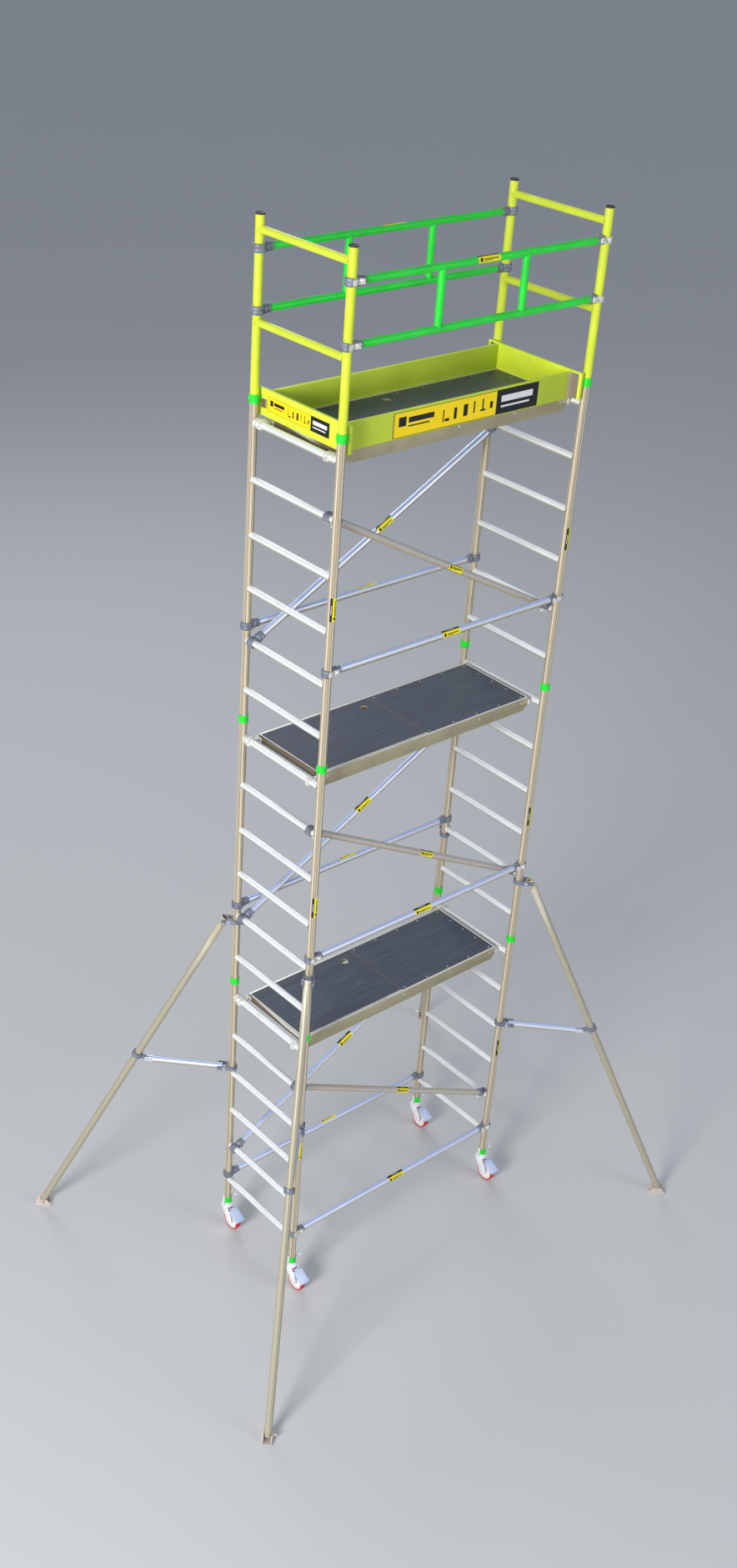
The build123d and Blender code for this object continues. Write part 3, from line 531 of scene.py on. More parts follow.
def turned(outline, steps, axis="Z"):
    bm, profile = outlineRing(outline)
    bmesh.ops.spin(bm, geom=profile, cent=(0, 0, 0), axis=(0, 0, 1), angle=2 * pi, steps=steps,
                   use_merge=True)
    bmesh.ops.remove_doubles(bm, verts=bm.verts, dist=1e-6)
    if axis == "X":
        bmesh.ops.rotate(bm, cent=(0, 0, 0), matrix=Matrix.Rotation(pi / 2, 3, "Y"), verts=bm.verts)
    return bm


def rod(radius, length, sides=16, bevel=0.0):
    bm = bmesh.new()
    bmesh.ops.create_cone(bm, cap_ends=True, segments=sides, radius1=radius, radius2=radius, depth=length)
    if bevel:
        bevelSharp(bm, bevel, 2, 60)
    return bm


def join(*parts):
    whole = bmesh.new()
    for part in parts:
        held = bpy.data.meshes.new("held")
        part.to_mesh(held)
        part.free()
        whole.from_mesh(held)
        bpy.data.meshes.remove(held)
    return whole


def aimed(at, along, up=(0, 0, 1)):
    # a place whose local X runs along and whose local Z is as near up as it can be
    x = Vector(along).normalized()
    y = Vector(up).cross(x).normalized()
    return Matrix.Translation(at) @ Matrix((x, y, x.cross(y))).transposed().to_4x4()


def shifted(bm, matrix):
    bmesh.ops.transform(bm, matrix=matrix, verts=bm.verts)
    return bm


def arc(outline, start, stop, steps):
    # part of a ring, from start to stop degrees, closed at both ends
    bm, profile = outlineRing(outline)
    bmesh.ops.contextual_create(bm, geom=[e for e in profile if isinstance(e, bmesh.types.BMEdge)])
    bmesh.ops.rotate(bm, cent=(0, 0, 0), matrix=Matrix.Rotation(radians(start), 3, "Z"), verts=bm.verts)
    bmesh.ops.spin(bm, geom=bm.verts[:] + bm.edges[:] + bm.faces[:], cent=(0, 0, 0), axis=(0, 0, 1),
                   angle=radians(stop - start), steps=steps)
    bmesh.ops.remove_doubles(bm, verts=bm.verts, dist=1e-6)
    bmesh.ops.recalc_face_normals(bm, faces=bm.faces)
    return bm


def copyOf(name):
    # a merged copy of a CAD node, with its flat faces joined up again
    bm = bmesh.new()
    bm.from_mesh(nodes[name].data)
    bmesh.ops.remove_doubles(bm, verts=bm.verts, dist=1e-5)
    bmesh.ops.dissolve_limit(bm, angle_limit=radians(1.0), verts=bm.verts, edges=bm.edges)
    return bm


def looseParts(bm):
    # the separate shells of a bmesh, as lists of faces
    left, parts = set(bm.faces), []
    while left:
        part, edge = set(), [left.pop()]
        while edge:
            face = edge.pop()
            part.add(face)
            for v in face.verts:
                for near in v.link_faces:
                    if near in left:
                        left.discard(near)
                        edge.append(near)
        parts.append(list(part))
    return parts


def reach(faces, axis):
    values = [v.co[axis] for face in faces for v in face.verts]
    return max(values) - min(values)


def bevelledNode(name, width, finish, segments=2, over=35):
    bm = copyOf(name)
    bevelSharp(bm, width, segments, over)
    return piece(name + "_shaped", bm, finish, nodes[name]["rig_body"], replaced=(name,))


def boltHead(size, thickness, washer=1.5):
    # hexagon head on a round washer, standing on local Z
    head = rod(size, thickness, 6, size * 0.08)
    shifted(head, Matrix.Translation((0, 0, thickness / 2 + 0.0014)))
    disc = shifted(rod(size * washer, 0.0014, 20), Matrix.Translation((0, 0, 0.0007)))
    return join(head, disc)


# ---- brace and guard-rail hooks ----
hook = {"wall": 0.0128, "half": 0.0235, "groove": 0.0026, "gateHalf": 0.0150, "reach": 0.082,
        "socketStart": 0.038, "socketWall": 0.0038, "flare": 0.0062, "knob": 0.0088}


def hookBody(grip, tubeRadius):
    # open casting round the gripped tube, a short neck, and a flared socket for the brace
    inner, outer, h = grip + 0.0002, grip + hook["wall"], hook["half"]
    ribs = [(inner, -h), (outer - 0.006, -h), (outer - 0.002, -h + 0.003), (outer, -0.0125), (outer, -0.0075),
            (outer - 0.0012, -0.003), (outer - hook["groove"], 0), (outer - 0.0012, 0.003), (outer, 0.0075),
            (outer, 0.0125), (outer - 0.002, h - 0.003), (outer - 0.006, h), (inner, h)]
    claw = arc(ribs, -240, 34, 30)
    wall, start, end = hook["socketWall"], hook["socketStart"], hook["reach"]
    socket = turned([(tubeRadius + 0.0002, start), (tubeRadius + 0.0002, end),
                     (tubeRadius + wall - 0.0015, end), (tubeRadius + wall, end - 0.002),
                     (tubeRadius + wall, end - 0.024), (tubeRadius + hook["flare"], end - 0.032),
                     (tubeRadius + hook["flare"], start + 0.004), (tubeRadius + wall - 0.002, start - 0.004),
                     (0.012, start - 0.006), (0.012, start)], 32, "X")
    neck = block((0.030, 0.044, 0.030), (outer + 0.004, -0.001, 0), 0.006, 3)
    web = block((0.018, 0.010, 0.050), (outer + 0.005, -0.003, 0), 0.003, 2)
    return join(claw, socket, neck, web)


def hookGate(grip):
    # sprung jaw that closes the outer side, its cheek plate and the round thumb knob
    inner, outer, h = grip + 0.0007, grip + hook["wall"] - 0.0022, hook["gateHalf"]
    jaw = arc([(inner, -h), (outer - 0.0015, -h), (outer, -h + 0.0015), (outer, h - 0.0015),
               (outer - 0.0015, h), (inner, h)], 35, 119, 14)
    cheek = block((0.036, 0.008, 2 * h), (outer + 0.010, 0.0255, 0), 0.002, 2)
    lip = block((0.006, 0.011, 2 * h - 0.004), (outer + 0.027, 0.0285, 0), 0.0015, 2)
    knobTurn = Matrix.Translation((outer + 0.011, 0.0340, -0.004)) @ Matrix.Rotation(-pi / 2, 4, "X")
    k = hook["knob"]
    knob = turned([(0.0034, 0.0015), (0.0034, 0.0085), (k - 0.0015, 0.0085), (k, 0.007), (k, 0.001),
                   (k - 0.0015, -0.004), (0.002, -0.004), (0.002, 0.0015)], 20)
    pin = shifted(rod(0.0042, 2 * h + 0.013, 14, 0.0008), Matrix.Translation((-grip - 0.0045, 0.010, 0)))
    return join(jaw, cheek, lip, shifted(knob, knobTurn), pin)


def rivetShape(tubeRadius):
    heads = []
    for side in (-1, 1):
        head = bmesh.new()
        bmesh.ops.create_uvsphere(head, u_segments=12, v_segments=8, radius=0.0052)
        bmesh.ops.scale(head, vec=(1, 1, 0.5), verts=head.verts)
        heads.append(shifted(head, Matrix.Translation((0.069, 0, side * (tubeRadius + hook["socketWall"])))))
    return join(*heads)


levelHeights = [rungHeight(level) for level in (0.15, 7.25, 13.27)]
railHeights = [rungHeight(level) for level in (18.85, 19.83)]
lowRungs = (1, 7, 13)
braceHooks, slopeHooks, railHooks = [], [], []
for side in (-1, 1):
    for end in (-1, 1):
        # the jaw is on the outer side, so local Y points away from the tower
        for z in levelHeights:
            braceHooks.append(aimed((end * halfBay, side * halfWidth, z), (-end, 0, 0), (0, 0, -side * end)))
        for z in railHeights:
            railHooks.append(aimed((end * halfBay, side * halfWidth, z), (-end, 0, 0), (0, 0, -side * end)))
    for low in lowRungs:
        high = Vector((side * halfBay, side * diagonalY, rungHeight(low + 3)))
        foot = Vector((-side * halfBay, side * diagonalY, rungHeight(low)))
        for here, there in ((high, foot), (foot, high)):
            # hooked over the rung from above, so the jaw closes underneath
            slopeHooks.append(aimed(here, there - here, (0, 1 if there.x > here.x else -1, 0)))

piece("snap_hook_castings", join(scatter(hookBody(uprightRadius, braceRadius), braceHooks),
                                 scatter(hookBody(rungRadius, braceRadius), slopeHooks),
                                 scatter(hookBody(uprightRadius, railRadius), railHooks)),
      "cast", replaced=("snap_hooks",))
piece("snap_hook_gates", join(scatter(hookGate(uprightRadius), braceHooks + railHooks),
                              scatter(hookGate(rungRadius), slopeHooks)), "bright")
piece("snap_hook_rivets", join(scatter(rivetShape(braceRadius), braceHooks + slopeHooks),
                               scatter(rivetShape(railRadius), railHooks)), "zinc")
print("hooks made")


# ---- weld beads where rungs and rails meet ----
bead = {"radius": 0.0032, "steps": 28, "sides": 6}


def saddleBead(tubeRadius, ontoRadius):
    # a ring of weld round a tube along Y, laid on the upright's curve
    bm = bmesh.new()
    bmesh.ops.create_circle(bm, segments=bead["sides"], radius=bead["radius"],
                            matrix=Matrix.Translation((tubeRadius, 0, 0)) @ Matrix.Rotation(pi / 2, 4, "Z")
                            @ Matrix.Rotation(pi / 2, 4, "Y"))
    bmesh.ops.spin(bm, geom=bm.verts[:] + bm.edges[:], cent=(0, 0, 0), axis=(0, 1, 0), angle=2 * pi,
                   steps=bead["steps"], use_merge=True)
    bmesh.ops.remove_doubles(bm, verts=bm.verts, dist=1e-6)
    for v in bm.verts:
        v.co.y += sqrt(max(0.0, ontoRadius ** 2 - min(abs(v.co.x), tubeRadius) ** 2))
    return bm


rungLevels = [rungHeight(i) for i in range(18)]
guardLevels = [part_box("guard_frames")[0].z + offset for offset in (0.420, 0.907)]


def beadPlaces(levels):
    return [Matrix.Translation((end * halfBay, side * halfWidth, z))
            @ Matrix.Rotation(0 if side < 0 else pi, 4, "Z")
            for z in levels for end in (-1, 1) for side in (-1, 1)]


piece("rung_weld_beads", scatter(saddleBead(rungRadius, uprightRadius), beadPlaces(rungLevels)), "weld")
piece("guard_weld_beads", scatter(saddleBead(rungRadius, uprightRadius), beadPlaces(guardLevels)), "yellow")
barX = 2 * halfBay / 6
railBeads = []
for side in (-1, 1):
    for end in (-1, 1):
        for z, flip in ((railHeights[0], 0), (railHeights[1], pi)):
            stand = Matrix.Translation((end * barX, side * halfWidth, z)) @ Matrix.Rotation(flip, 4, "X")
            railBeads.append(stand @ Matrix.Rotation(pi / 2, 4, "X") @ Matrix.Rotation(pi / 2, 4, "Y"))
piece("rail_weld_beads", scatter(saddleBead(railRadius, railRadius), railBeads), "green")
print("weld beads made")


# ---- labels ----
sticker = {"lift": 0.0005, "length": 0.142, "slopeLength": 0.128, "railLength": 0.162, "wrap": 150,
           "offset": 0.01}
tubeBars = {"ink": [(0.07, 0.19, 0.50, 0.86), (0.24, 0.90, 0.60, 0.70), (0.24, 0.62, 0.76, 0.82)],
            "pale": [(0.30, 0.70, 0.14, 0.20)], "rim": -0.1}
boardBars = {"ink": [(0.035, 0.085, 0.42, 0.80), (0.10, 0.27, 0.52, 0.74), (0.10, 0.24, 0.36, 0.42),
                     (0.33, 0.338, 0.22, 0.72), (0.345, 0.375, 0.22, 0.34), (0.405, 0.425, 0.24, 0.70),
                     (0.47, 0.50, 0.26, 0.74), (0.54, 0.55, 0.30, 0.78), (0.59, 0.625, 0.30, 0.38),
                     (0.60, 0.61, 0.38, 0.80), (0.655, 0.675, 0.34, 0.62)],
             "pale": [(0.735, 0.96, 0.48, 0.74), (0.735, 0.94, 0.26, 0.34)], "rim": 0.006}
smallSticker = stickerFinish("tubeLabel", (-0.1, 1.1, -0.1, 0.34), tubeBars,
                             (tint(250, 236, 14), tint(232, 214, 18)))
boardSticker = stickerFinish("boardLabel", (0.70, 1.1, -0.1, 1.1), boardBars,
                             (tint(255, 222, 4), tint(246, 204, 8)))


def patch(across, along, shape):
    # a thin skin: a flat grid laid into place point by point
    bm = bmesh.new()
    bm.loops.layers.uv.new("UVMap")
    bmesh.ops.create_grid(bm, x_segments=along, y_segments=across, size=0.5, calc_uvs=True)
    for v in bm.verts:
        v.co = shape(v.co.x, v.co.y)
    return bm


def wrapLabel(place, radius, length, wrap):
    # local X runs along the tube, and the label is centred on local Z
    r = radius + sticker["lift"]

    def shape(u, v):
        angle = -v * radians(wrap)
        return place @ Vector((u * length, sin(angle) * r, cos(angle) * r))
    return patch(12, 2, shape)


tubeLabels = []
for storey in range(3):
    labelZ = frameLow.z + (storey + 0.511) * frameHeight
    for side in (-1, 1):
        for end in (-1, 1):
            place = aimed((end * halfBay, side * halfWidth, labelZ), (0, 0, 1), (end * 0.2, side, 0))
            tubeLabels.append(wrapLabel(place, uprightRadius, sticker["length"], 104))
        place = aimed((sticker["offset"], side * halfWidth, levelHeights[storey]), (1, 0, 0),
                      (0, side * 0.8, 0.7))
        tubeLabels.append(wrapLabel(place, braceRadius, sticker["length"], sticker["wrap"]))
        high = Vector((side * halfBay, side * diagonalY, rungHeight(lowRungs[storey] + 3)))
        low = Vector((-side * halfBay, side * diagonalY, rungHeight(lowRungs[storey])))
        slope = (low - high) * (1 if low.x > high.x else -1)
        middle = (high + low) / 2 + slope.normalized() * 0.06
        place = aimed(middle, slope, (0, -0.8 if side < 0 else -0.6, 0.7))
        tubeLabels.append(wrapLabel(place, braceRadius, sticker["slopeLength"], sticker["wrap"]))
for side in (-1, 1):
    place = aimed((sticker["offset"], side * halfWidth, railHeights[1]), (1, 0, 0), (0, side * 0.8, 0.7))
    tubeLabels.append(wrapLabel(place, railRadius, sticker["railLength"], sticker["wrap"]))
piece("tube_labels", join(*tubeLabels), smallSticker, sharp=60)

boardLow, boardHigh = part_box("toe_boards")
longLabel = {"size": (1.12, 0.142), "at": (0.03, 0.077), "boardThickness": 0.0221}
endLabel = {"size": (0.525, 0.084), "at": (-0.0375, 0.088)}


def boardLabel(label, shape):
    # shape turns a place along the board and a height on it into a point
    return patch(1, 1, lambda u, v: shape(label["at"][0] + u * label["size"][0],
                                          boardLow.z + label["at"][1] + v * label["size"][1]))


longFace = deckHalf + longLabel["boardThickness"] + sticker["lift"]
endFace = boardHigh.x + sticker["lift"]
boardLabels = []
for side in (-1, 1):
    boardLabels.append(boardLabel(longLabel, lambda along, z: Vector((along * -side, side * longFace, z))))
    boardLabels.append(boardLabel(endLabel, lambda along, z: Vector((side * endFace, along * side, z))))
piece("toe_board_labels", join(*boardLabels), boardSticker, sharp=60)
print("labels made")


# ---- platforms: boards, beams, hatches and their strip hinges ----
bevelledNode("platform_frames", 0.0016, "beam")
bevelledNode("toe_boards", 0.0028, "board", 3)
bevelledNode("toe_board_clips", 0.0012, "beam", 1)
panelEdges = {"chamfer": 0.0018, "sharp": 4, "boardWidth": 0.2}


def hatchParts(name, wide):
    # the hatch's wide shell is its board, and the narrow ones are the hinge's leaf and knuckles
    bm = copyOf(name)
    others = [part for part in looseParts(bm) if (reach(part, 1) > panelEdges["boardWidth"]) != wide]
    bmesh.ops.delete(bm, geom=[face for part in others for face in part], context="FACES")
    return bm


def domed(radius, rim, top, steps=14):
    # a low button head: radii of the rim and of the flat top, with the height of both
    return turned([(0.0001, 0.0), (radius, 0.0), rim, top, (0.0001, top[1])], steps)


panels = copyOf("deck_panels")
bevelSharp(panels, panelEdges["chamfer"], 1)
piece("deck_panels_shaped", panels, "deck", "tower", panelEdges["sharp"], ("deck_panels",))
hingeScrews = {"count": 11, "first": -0.035, "pitch": 0.0795, "inset": 0.0245, "rise": 0.0022}
for level in deckRungs:
    node = "hatch_" + level
    board = hatchParts(node, True)
    bevelSharp(board, panelEdges["chamfer"], 1)
    piece(node + "_board", board, "deck", node, panelEdges["sharp"], (node,))
    piece(node + "_strip", hatchParts(node, False), "hinge", node)
    screwY, screwZ = -deckHalf + hingeScrews["inset"], deckTop(level) - boardSink + hingeScrews["rise"]
    places = [Matrix.Translation((hingeScrews["first"] - i * hingeScrews["pitch"], screwY, screwZ))
              for i in range(hingeScrews["count"])]
    piece(node + "_screws", scatter(domed(0.0032, (0.0028, 0.0008), (0.0012, 0.0011), 12), places),
          "zinc", node)

deckRivets = {"edgeX": (0.035, 0.24, 0.44, 0.64, 0.84), "edgeInset": 0.034, "endX": 0.84,
              "endY": (-0.13, 0.0, 0.13)}
beamRivets = {"x": (-0.85, -0.82, 0.0, 0.4387, 0.82, 0.85), "drop": 0.030}
fixings, beamFixings = [], []
for level in deckRungs:
    top = deckTop(level) - boardSink
    for side in (-1, 1):
        fixings += [Matrix.Translation((x, side * (deckHalf - deckRivets["edgeInset"]), top))
                    for x in deckRivets["edgeX"]]
        beamFixings += [Matrix.Translation((x, side * deckHalf, deckTop(level) - beamRivets["drop"]))
                        @ Matrix.Rotation(-side * pi / 2, 4, "X") for x in beamRivets["x"]]
    fixings += [Matrix.Translation((deckRivets["endX"], y, top)) for y in deckRivets["endY"]]
piece("deck_rivets", scatter(domed(0.0062, (0.0055, 0.0009), (0.0025, 0.0016)), fixings),
      "zinc")
piece("beam_rivets", scatter(domed(0.0058, (0.0052, 0.0012), (0.0022, 0.0024)), beamFixings),
      "zinc")
print("platforms made")


# ---- cast platform hooks over the rungs ----
saddle = {"inner": 0.0222, "outer": 0.0328, "half": 0.019, "lobe": 0.0035, "inset": 0.012,
          "bolt": (-0.040, 0, 0.010)}


def platformHook(whole=True):
    # local X points outwards from the platform's end, and the rung is at the origin
    r, big, h, lobe = saddle["inner"], saddle["outer"], saddle["half"], saddle["lobe"]
    over = arc([(r, -h), (big - 0.002, -h), (big, -h + 0.003), (big, -h + 0.009), (big - lobe, -h + 0.013),
                (big - lobe, h - 0.013), (big, h - 0.009), (big, h - 0.003), (big - 0.002, h), (r, h)],
               -30, 196, 24)
    shifted(over, Matrix.Rotation(pi / 2, 4, "X"))
    if not whole:
        return over
    arm = block((0.036, 0.024, 0.020), (-0.044, 0, 0.010), 0.004, 3)
    plate = block((0.007, 0.046, 0.036), (-0.0588, 0, 0.004), 0.002, 2)
    latch = block((0.010, 0.030, 0.016), (0.0335, 0, -0.004), 0.003, 3)
    boss = shifted(rod(0.009, 0.030, 20, 0.0012),
                   Matrix.Translation(saddle["bolt"]) @ Matrix.Rotation(pi / 2, 4, "X"))
    return join(over, arm, plate, latch, boss)


def sideLobe():
    # the far hook carries a second saddle, close against the upright
    lobe = platformHook(False)
    web = block((0.046, 0.012, 0.006), (0, -0.024, 0.030), 0.0015, 2)
    return shifted(join(lobe, web), Matrix.Translation((0, 0.038, 0)))


def hookBolts():
    sides = []
    for turnTo in (pi / 2, -pi / 2):
        sides.append(shifted(boltHead(0.0062, 0.004), Matrix.Translation(saddle["bolt"])
                             @ Matrix.Rotation(turnTo, 4, "X") @ Matrix.Translation((0, 0, 0.015))))
    return join(*sides)


hookY = deckHalf - saddle["inset"]
hookPlaces = [Matrix.Translation((end * halfBay, side * hookY, rungHeight(deckRungs[level])))
              @ Matrix.Rotation(0 if end > 0 else pi, 4, "Z")
              for level in deckRungs for end in (-1, 1) for side in (-1, 1)]
farPlaces = [Matrix.Translation((end * halfBay, hookY, rungHeight(deckRungs[level])))
             for level in deckRungs for end in (-1, 1)]
piece("platform_hook_castings", join(scatter(platformHook(), hookPlaces), scatter(sideLobe(), farPlaces)),
      "bright", replaced=("platform_hooks",))
piece("platform_hook_bolts", scatter(hookBolts(), hookPlaces), "zinc")
print("platform hooks made")


# ---- joint rings, caps ----
ringSize = {"half": 0.025, "wall": 0.0049, "lip": 0.0012, "tabTurn": 140}
ringZ = [frameLow.z + i * frameHeight for i in range(4)]
r0, r1, h, lip = uprightRadius + 0.0002, uprightRadius + ringSize["wall"], ringSize["half"], ringSize["lip"]
band = turned([(r0, -h), (r1 - 0.001, -h), (r1, -h + 0.001), (r1, -h + 0.006), (r1 - lip, -h + 0.0075),
               (r1 - lip, h - 0.0075), (r1, h - 0.006), (r1, h - 0.001), (r1 - 0.001, h), (r0, h)], 40)
tab = shifted(block((0.007, 0.016, 0.022), (r1 - 0.0015, 0, 0), 0.0025, 2),
              Matrix.Rotation(radians(ringSize["tabTurn"]), 4, "Z"))
ringPlaces = [Matrix.Translation((*uprightAt[name], z)) for name in cornerNames for z in ringZ]
piece("lock_rings_shaped", scatter(join(band, tab), ringPlaces), "ring",
      replaced=("lock_rings",))

capLow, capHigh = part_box("post_caps")
r, drop = uprightRadius + 0.0009, capLow.z - capHigh.z
cap = turned([(0.0001, -0.0015), (0.018, -0.0022), (0.0205, -0.0006), (0.0225, 0.0), (r - 0.001, 0.0),
              (r, -0.001), (r, drop + 0.001), (r - 0.0005, drop), (0.0001, drop + 0.004)], 40)
capPlaces = [Matrix.Translation((*uprightAt[name], capHigh.z)) for name in cornerNames]
piece("post_caps_shaped", scatter(cap, capPlaces), "cap", replaced=("post_caps",))
print("rings and caps made")


# ---- castors ----
castor = {"trail": 0.065, "axle": 0.075, "ribs": 6, "hubOuter": 0.056, "hubInner": 0.018, "hubHalf": 0.017,
          "recess": 0.0095, "cup": 0.1765, "pedalKnee": (-0.070, 0.173), "pedalTip": (-0.160, 0.120),
          "ridges": (-0.024, -0.008, 0.008, 0.024), "pad": (-0.008, -0.046, 0.1722)}
cheek = {"x": 0.0268, "thickness": 0.0028, "outline": (
    (0.034, 0.186), (0.036, 0.172), (0.022, 0.140), (-0.006, 0.100), (-0.040, 0.062), (-0.052, 0.054),
    (-0.078, 0.054), (-0.090, 0.066), (-0.088, 0.092), (-0.074, 0.130), (-0.054, 0.160), (-0.036, 0.176),
    (-0.030, 0.186))}
stemClamp = {"x": -0.034, "y": -0.004, "drop": -0.031, "rise": 0.008}
lockScrew = {"x": 0.041, "knobX": 0.062, "y": -0.006, "rise": 0.006}
faceX = Matrix.Rotation(pi / 2, 4, "Y")


def hubRibs():
    length = castor["hubOuter"] - castor["hubInner"] + 0.002
    ribs = []
    for side in (-1, 1):
        for i in range(castor["ribs"]):
            at = (side * (castor["hubHalf"] - castor["recess"] / 2 - 0.0012), 0,
                  (castor["hubOuter"] + castor["hubInner"]) / 2)
            rib = block((castor["recess"], 0.005, length), at, 0.0008, 1)
            ribs.append(shifted(rib, Matrix.Rotation(2 * pi * i / castor["ribs"], 4, "X")))
    return join(*ribs)


def bearingCovers():
    covers = []
    for side in (-1, 1):
        cover = turned([(0.0065, 0.0), (0.0175, 0.0), (0.0165, 0.0022), (0.0105, 0.0030),
                        (0.0065, 0.0030)], 28, "X")
        covers.append(shifted(cover, Matrix.Translation((side * castor["hubHalf"], 0, 0))
                              @ Matrix.Rotation(0 if side > 0 else pi, 4, "Z")))
    return join(*covers)


def pedalRidges():
    # pressed ridges down the sloping part of the pedal
    knee, tip = Vector((0, *castor["pedalKnee"])), Vector((0, *castor["pedalTip"]))
    run = tip - knee
    lift = Vector((0, run.z, -run.y)).normalized()
    return join(*(shifted(block((0.004, run.length * 0.62, 0.0024), (0, 0, 0), 0.001, 1),
                          aimed(Vector((x, 0, 0)) + knee + run * 0.52 + lift * 0.0008, (1, 0, 0), lift))
                  for x in castor["ridges"]))


def cheekPlates():
    plates = []
    for side in (-1, 1):
        bm = bmesh.new()
        bm.faces.new([bm.verts.new((side * cheek["x"], y, z)) for y, z in cheek["outline"]])
        thick = bmesh.ops.extrude_face_region(bm, geom=bm.faces[:])
        bmesh.ops.translate(bm, vec=(side * cheek["thickness"], 0, 0),
                            verts=[v for v in thick["geom"] if isinstance(v, bmesh.types.BMVert)])
        bevelSharp(bm, 0.0009, 2)
        plates.append(bm)
    return join(*plates)


def clampShape():
    # upright plate beside the joint ring, with a lug and a flange bolt below it
    at = (stemClamp["x"] - 0.012, stemClamp["y"], stemClamp["drop"])
    plate = block((0.004, 0.018, 0.066), (stemClamp["x"] + 0.0005, 0, stemClamp["rise"]), 0.0015, 2)
    flange = shifted(rod(0.0115, 0.012, 24, 0.003), Matrix.Translation(at) @ faceX)
    lug = block((0.018, 0.022, 0.014), (stemClamp["x"], stemClamp["y"], stemClamp["drop"]), 0.002, 2)
    return join(plate, flange, lug)


def lockScrewShape():
    shank = shifted(rod(0.0040, 0.026, 12),
                    Matrix.Translation((lockScrew["x"], lockScrew["y"], lockScrew["rise"])) @ faceX)
    knob = shifted(rod(0.0105, 0.020, 10, 0.0022),
                   Matrix.Translation((lockScrew["knobX"], lockScrew["y"], lockScrew["rise"])) @ faceX)
    return join(shank, knob)


for name in cornerNames:
    x, y = uprightAt[name]
    wheel = Matrix.Translation((x, y - castor["trail"], castor["axle"]))
    stand, stem = Matrix.Translation((x, y, 0)), Matrix.Translation((x, y, ringZ[0]))
    fork, wheelBody, brake = f"castor_{name}", f"wheel_{name}", f"brake_{name}"
    bevelledNode(f"castor_{name}_fork", 0.0012, "white")
    bevelledNode(f"castor_{name}_pedal", 0.0010, "pedal", 2, 25)
    piece(f"wheel_{name}_ribs", shifted(hubRibs(), wheel), "nylon", wheelBody)
    piece(f"wheel_{name}_bearing_covers", shifted(bearingCovers(), wheel), "zinc", wheelBody)
    piece(f"castor_{name}_pedal_ridges", shifted(pedalRidges(), stand), "pedal", brake)
    piece(f"castor_{name}_cheek_plates", shifted(cheekPlates(), stand), "white", fork)
    pad = block((0.024, 0.007, 0.0035), castor["pad"], 0.001, 2)
    piece(f"castor_{name}_pedal_pad", shifted(pad, stand), "red", brake)
    cup = turned([(0.0302, 0.0), (0.0400, 0.0), (0.0425, 0.0025), (0.0425, 0.0075), (0.0395, 0.0130),
                  (0.0330, 0.0150), (0.0302, 0.0150)], 40)
    piece(f"castor_{name}_swivel_cup", shifted(cup, Matrix.Translation((x, y, castor["cup"]))), "white", fork)
    piece(f"stem_{name}_clamp", shifted(clampShape(), stem), "white", "tower")
    piece(f"stem_{name}_lock_screw", shifted(lockScrewShape(), stem), "white", "tower")
print("castors made")


# ---- outriggers ----
legTube = {"outer": 0.0254, "inner": 0.0228, "past": 0.024, "footPast": 0.014}
clampBolt = {"size": 0.0085, "height": 0.006, "out": 0.052, "across": 0.0342}
for name in cornerNames:
    end, side = (1 if v > 0 else -1 for v in uprightAt[name])
    bevelledNode(f"outrigger_{name}_clamps", 0.0018, "cast", 2, 40)
    bevelledNode(f"outrigger_{name}_coupler", 0.0016, "cast", 2, 40)
    bevelledNode(f"outrigger_{name}_foot", 0.0010, "galvanised", 2, 40)
    top, foot = jointAt["outrigger_lift_" + name], jointAt["foot_pivot_" + name]
    start, stop = -legTube["past"], (foot - top).length + legTube["footPast"]
    shell = turned([(legTube["inner"], start), (legTube["inner"], stop), (legTube["outer"], stop),
                    (legTube["outer"], start)], 56, "X")
    piece(f"outrigger_{name}_tube_shaped", shifted(shell, aimed(top, foot - top)), legFinishes[name],
          f"leg_{name}", replaced=(f"outrigger_{name}_tube",))
    # a bolt through each side of the two swing clamps
    outward = Vector((end, side, 0)).normalized()
    across = Vector((0, 0, 1)).cross(outward)
    bolts = []
    for z in (highClampZ, lowClampZ):
        middle = Vector((*uprightAt[name], z)) + outward * clampBolt["out"]
        for turnTo in (-1, 1):
            place = aimed(middle + across * turnTo * clampBolt["across"], outward, across * turnTo)
            bolts.append(shifted(boltHead(clampBolt["size"], clampBolt["height"], 1.4), place))
    piece(f"outrigger_{name}_bolts", join(*bolts), "zinc", f"outrigger_{name}")
print("outriggers made")


# ---- stage, lights and camera ----
stage = {"size": 90.0}


def stageFinish():
    f = Finish("paleFloor", Roughness=0.7)
    f.colour(f.mix(f.noise(f.place, 0.5, 3.0) * 0.2, tint(204, 204, 203), tint(196, 196, 196)))
    return f.material


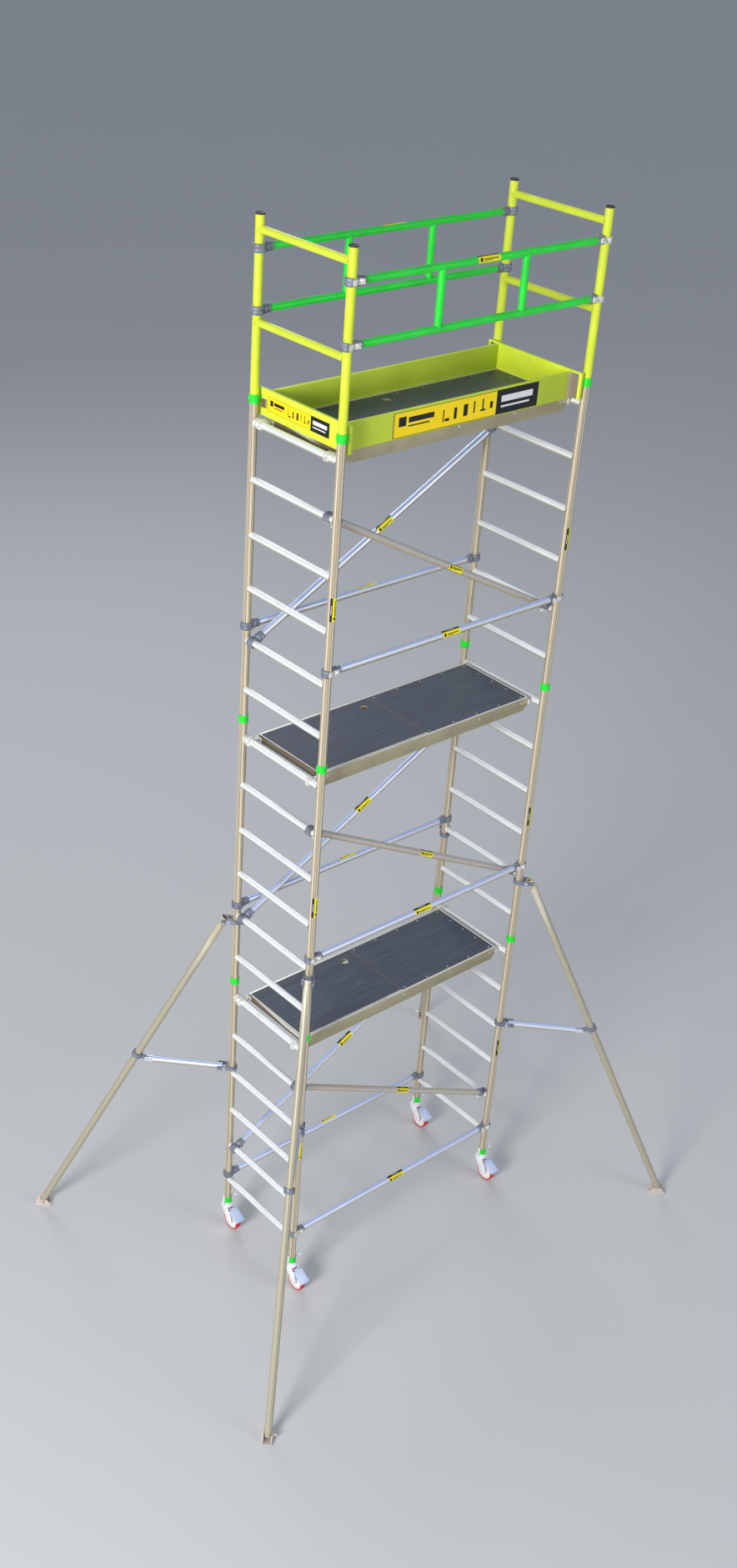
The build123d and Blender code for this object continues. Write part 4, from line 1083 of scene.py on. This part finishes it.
floorMesh = bpy.data.meshes.new("floor")
bm = bmesh.new()
bmesh.ops.create_grid(bm, x_segments=2, y_segments=2, size=stage["size"])
bm.to_mesh(floorMesh)
bm.free()
floor = bpy.data.objects.new("floor", floorMesh)
floorMesh.materials.append(stageFinish())
bpy.context.scene.collection.objects.link(floor)

lights = {"key": ((-15.0, -5.0, 8.5), 2500, 5.0, (1.0, 0.985, 0.96)),
          "fill": ((5.0, -13.0, 9.0), 480, 7.0, (0.93, 0.96, 1.0)),
          "back": ((4.0, 12.0, 12.0), 500, 6.0, (0.95, 0.97, 1.0))}
for name, (at, power, size, colour) in lights.items():
    data = bpy.data.lights.new(name, "AREA")
    data.energy, data.size, data.color = power, size, colour
    lamp = bpy.data.objects.new(name, data)
    lamp.location = at
    lamp.rotation_euler = (Vector((0, 0, 3.4)) - Vector(at)).to_track_quat("-Z", "Y").to_euler()
    bpy.context.scene.collection.objects.link(lamp)
world = bpy.data.worlds.new("studio")
world.use_nodes = True
sky = world.node_tree.nodes["Background"]
sky.inputs["Color"].default_value = tint(216, 226, 244)
sky.inputs["Strength"].default_value = 0.45
bpy.context.scene.world = world
bpy.context.scene.view_settings.view_transform = "Standard"

view = {"at": (-6.8493, -7.0536, 9.3608), "yaw": 42.119, "down": 32.354, "roll": -3.842, "lens": 40.285,
        "shift": (0.0226, 0.0387)}
yaw, down, roll = (radians(view[key]) for key in ("yaw", "down", "roll"))
ahead = Vector((sin(yaw) * cos(down), cos(yaw) * cos(down), -sin(down)))
level = Vector((cos(yaw), -sin(yaw), 0))
drop = ahead.cross(level)
right = cos(roll) * level + sin(roll) * drop
below = -sin(roll) * level + cos(roll) * drop
cameraData = bpy.data.cameras.new("camera")
cameraData.lens = view["lens"]
cameraData.shift_x, cameraData.shift_y = view["shift"]
cameraData.clip_end = 200
camera = bpy.data.objects.new("camera", cameraData)
camera.matrix_world = Matrix.Translation(view["at"]) @ Matrix((right, -below, -ahead)).transposed().to_4x4()
bpy.context.scene.collection.objects.link(camera)
bpy.context.scene.camera = camera
print("stage set")
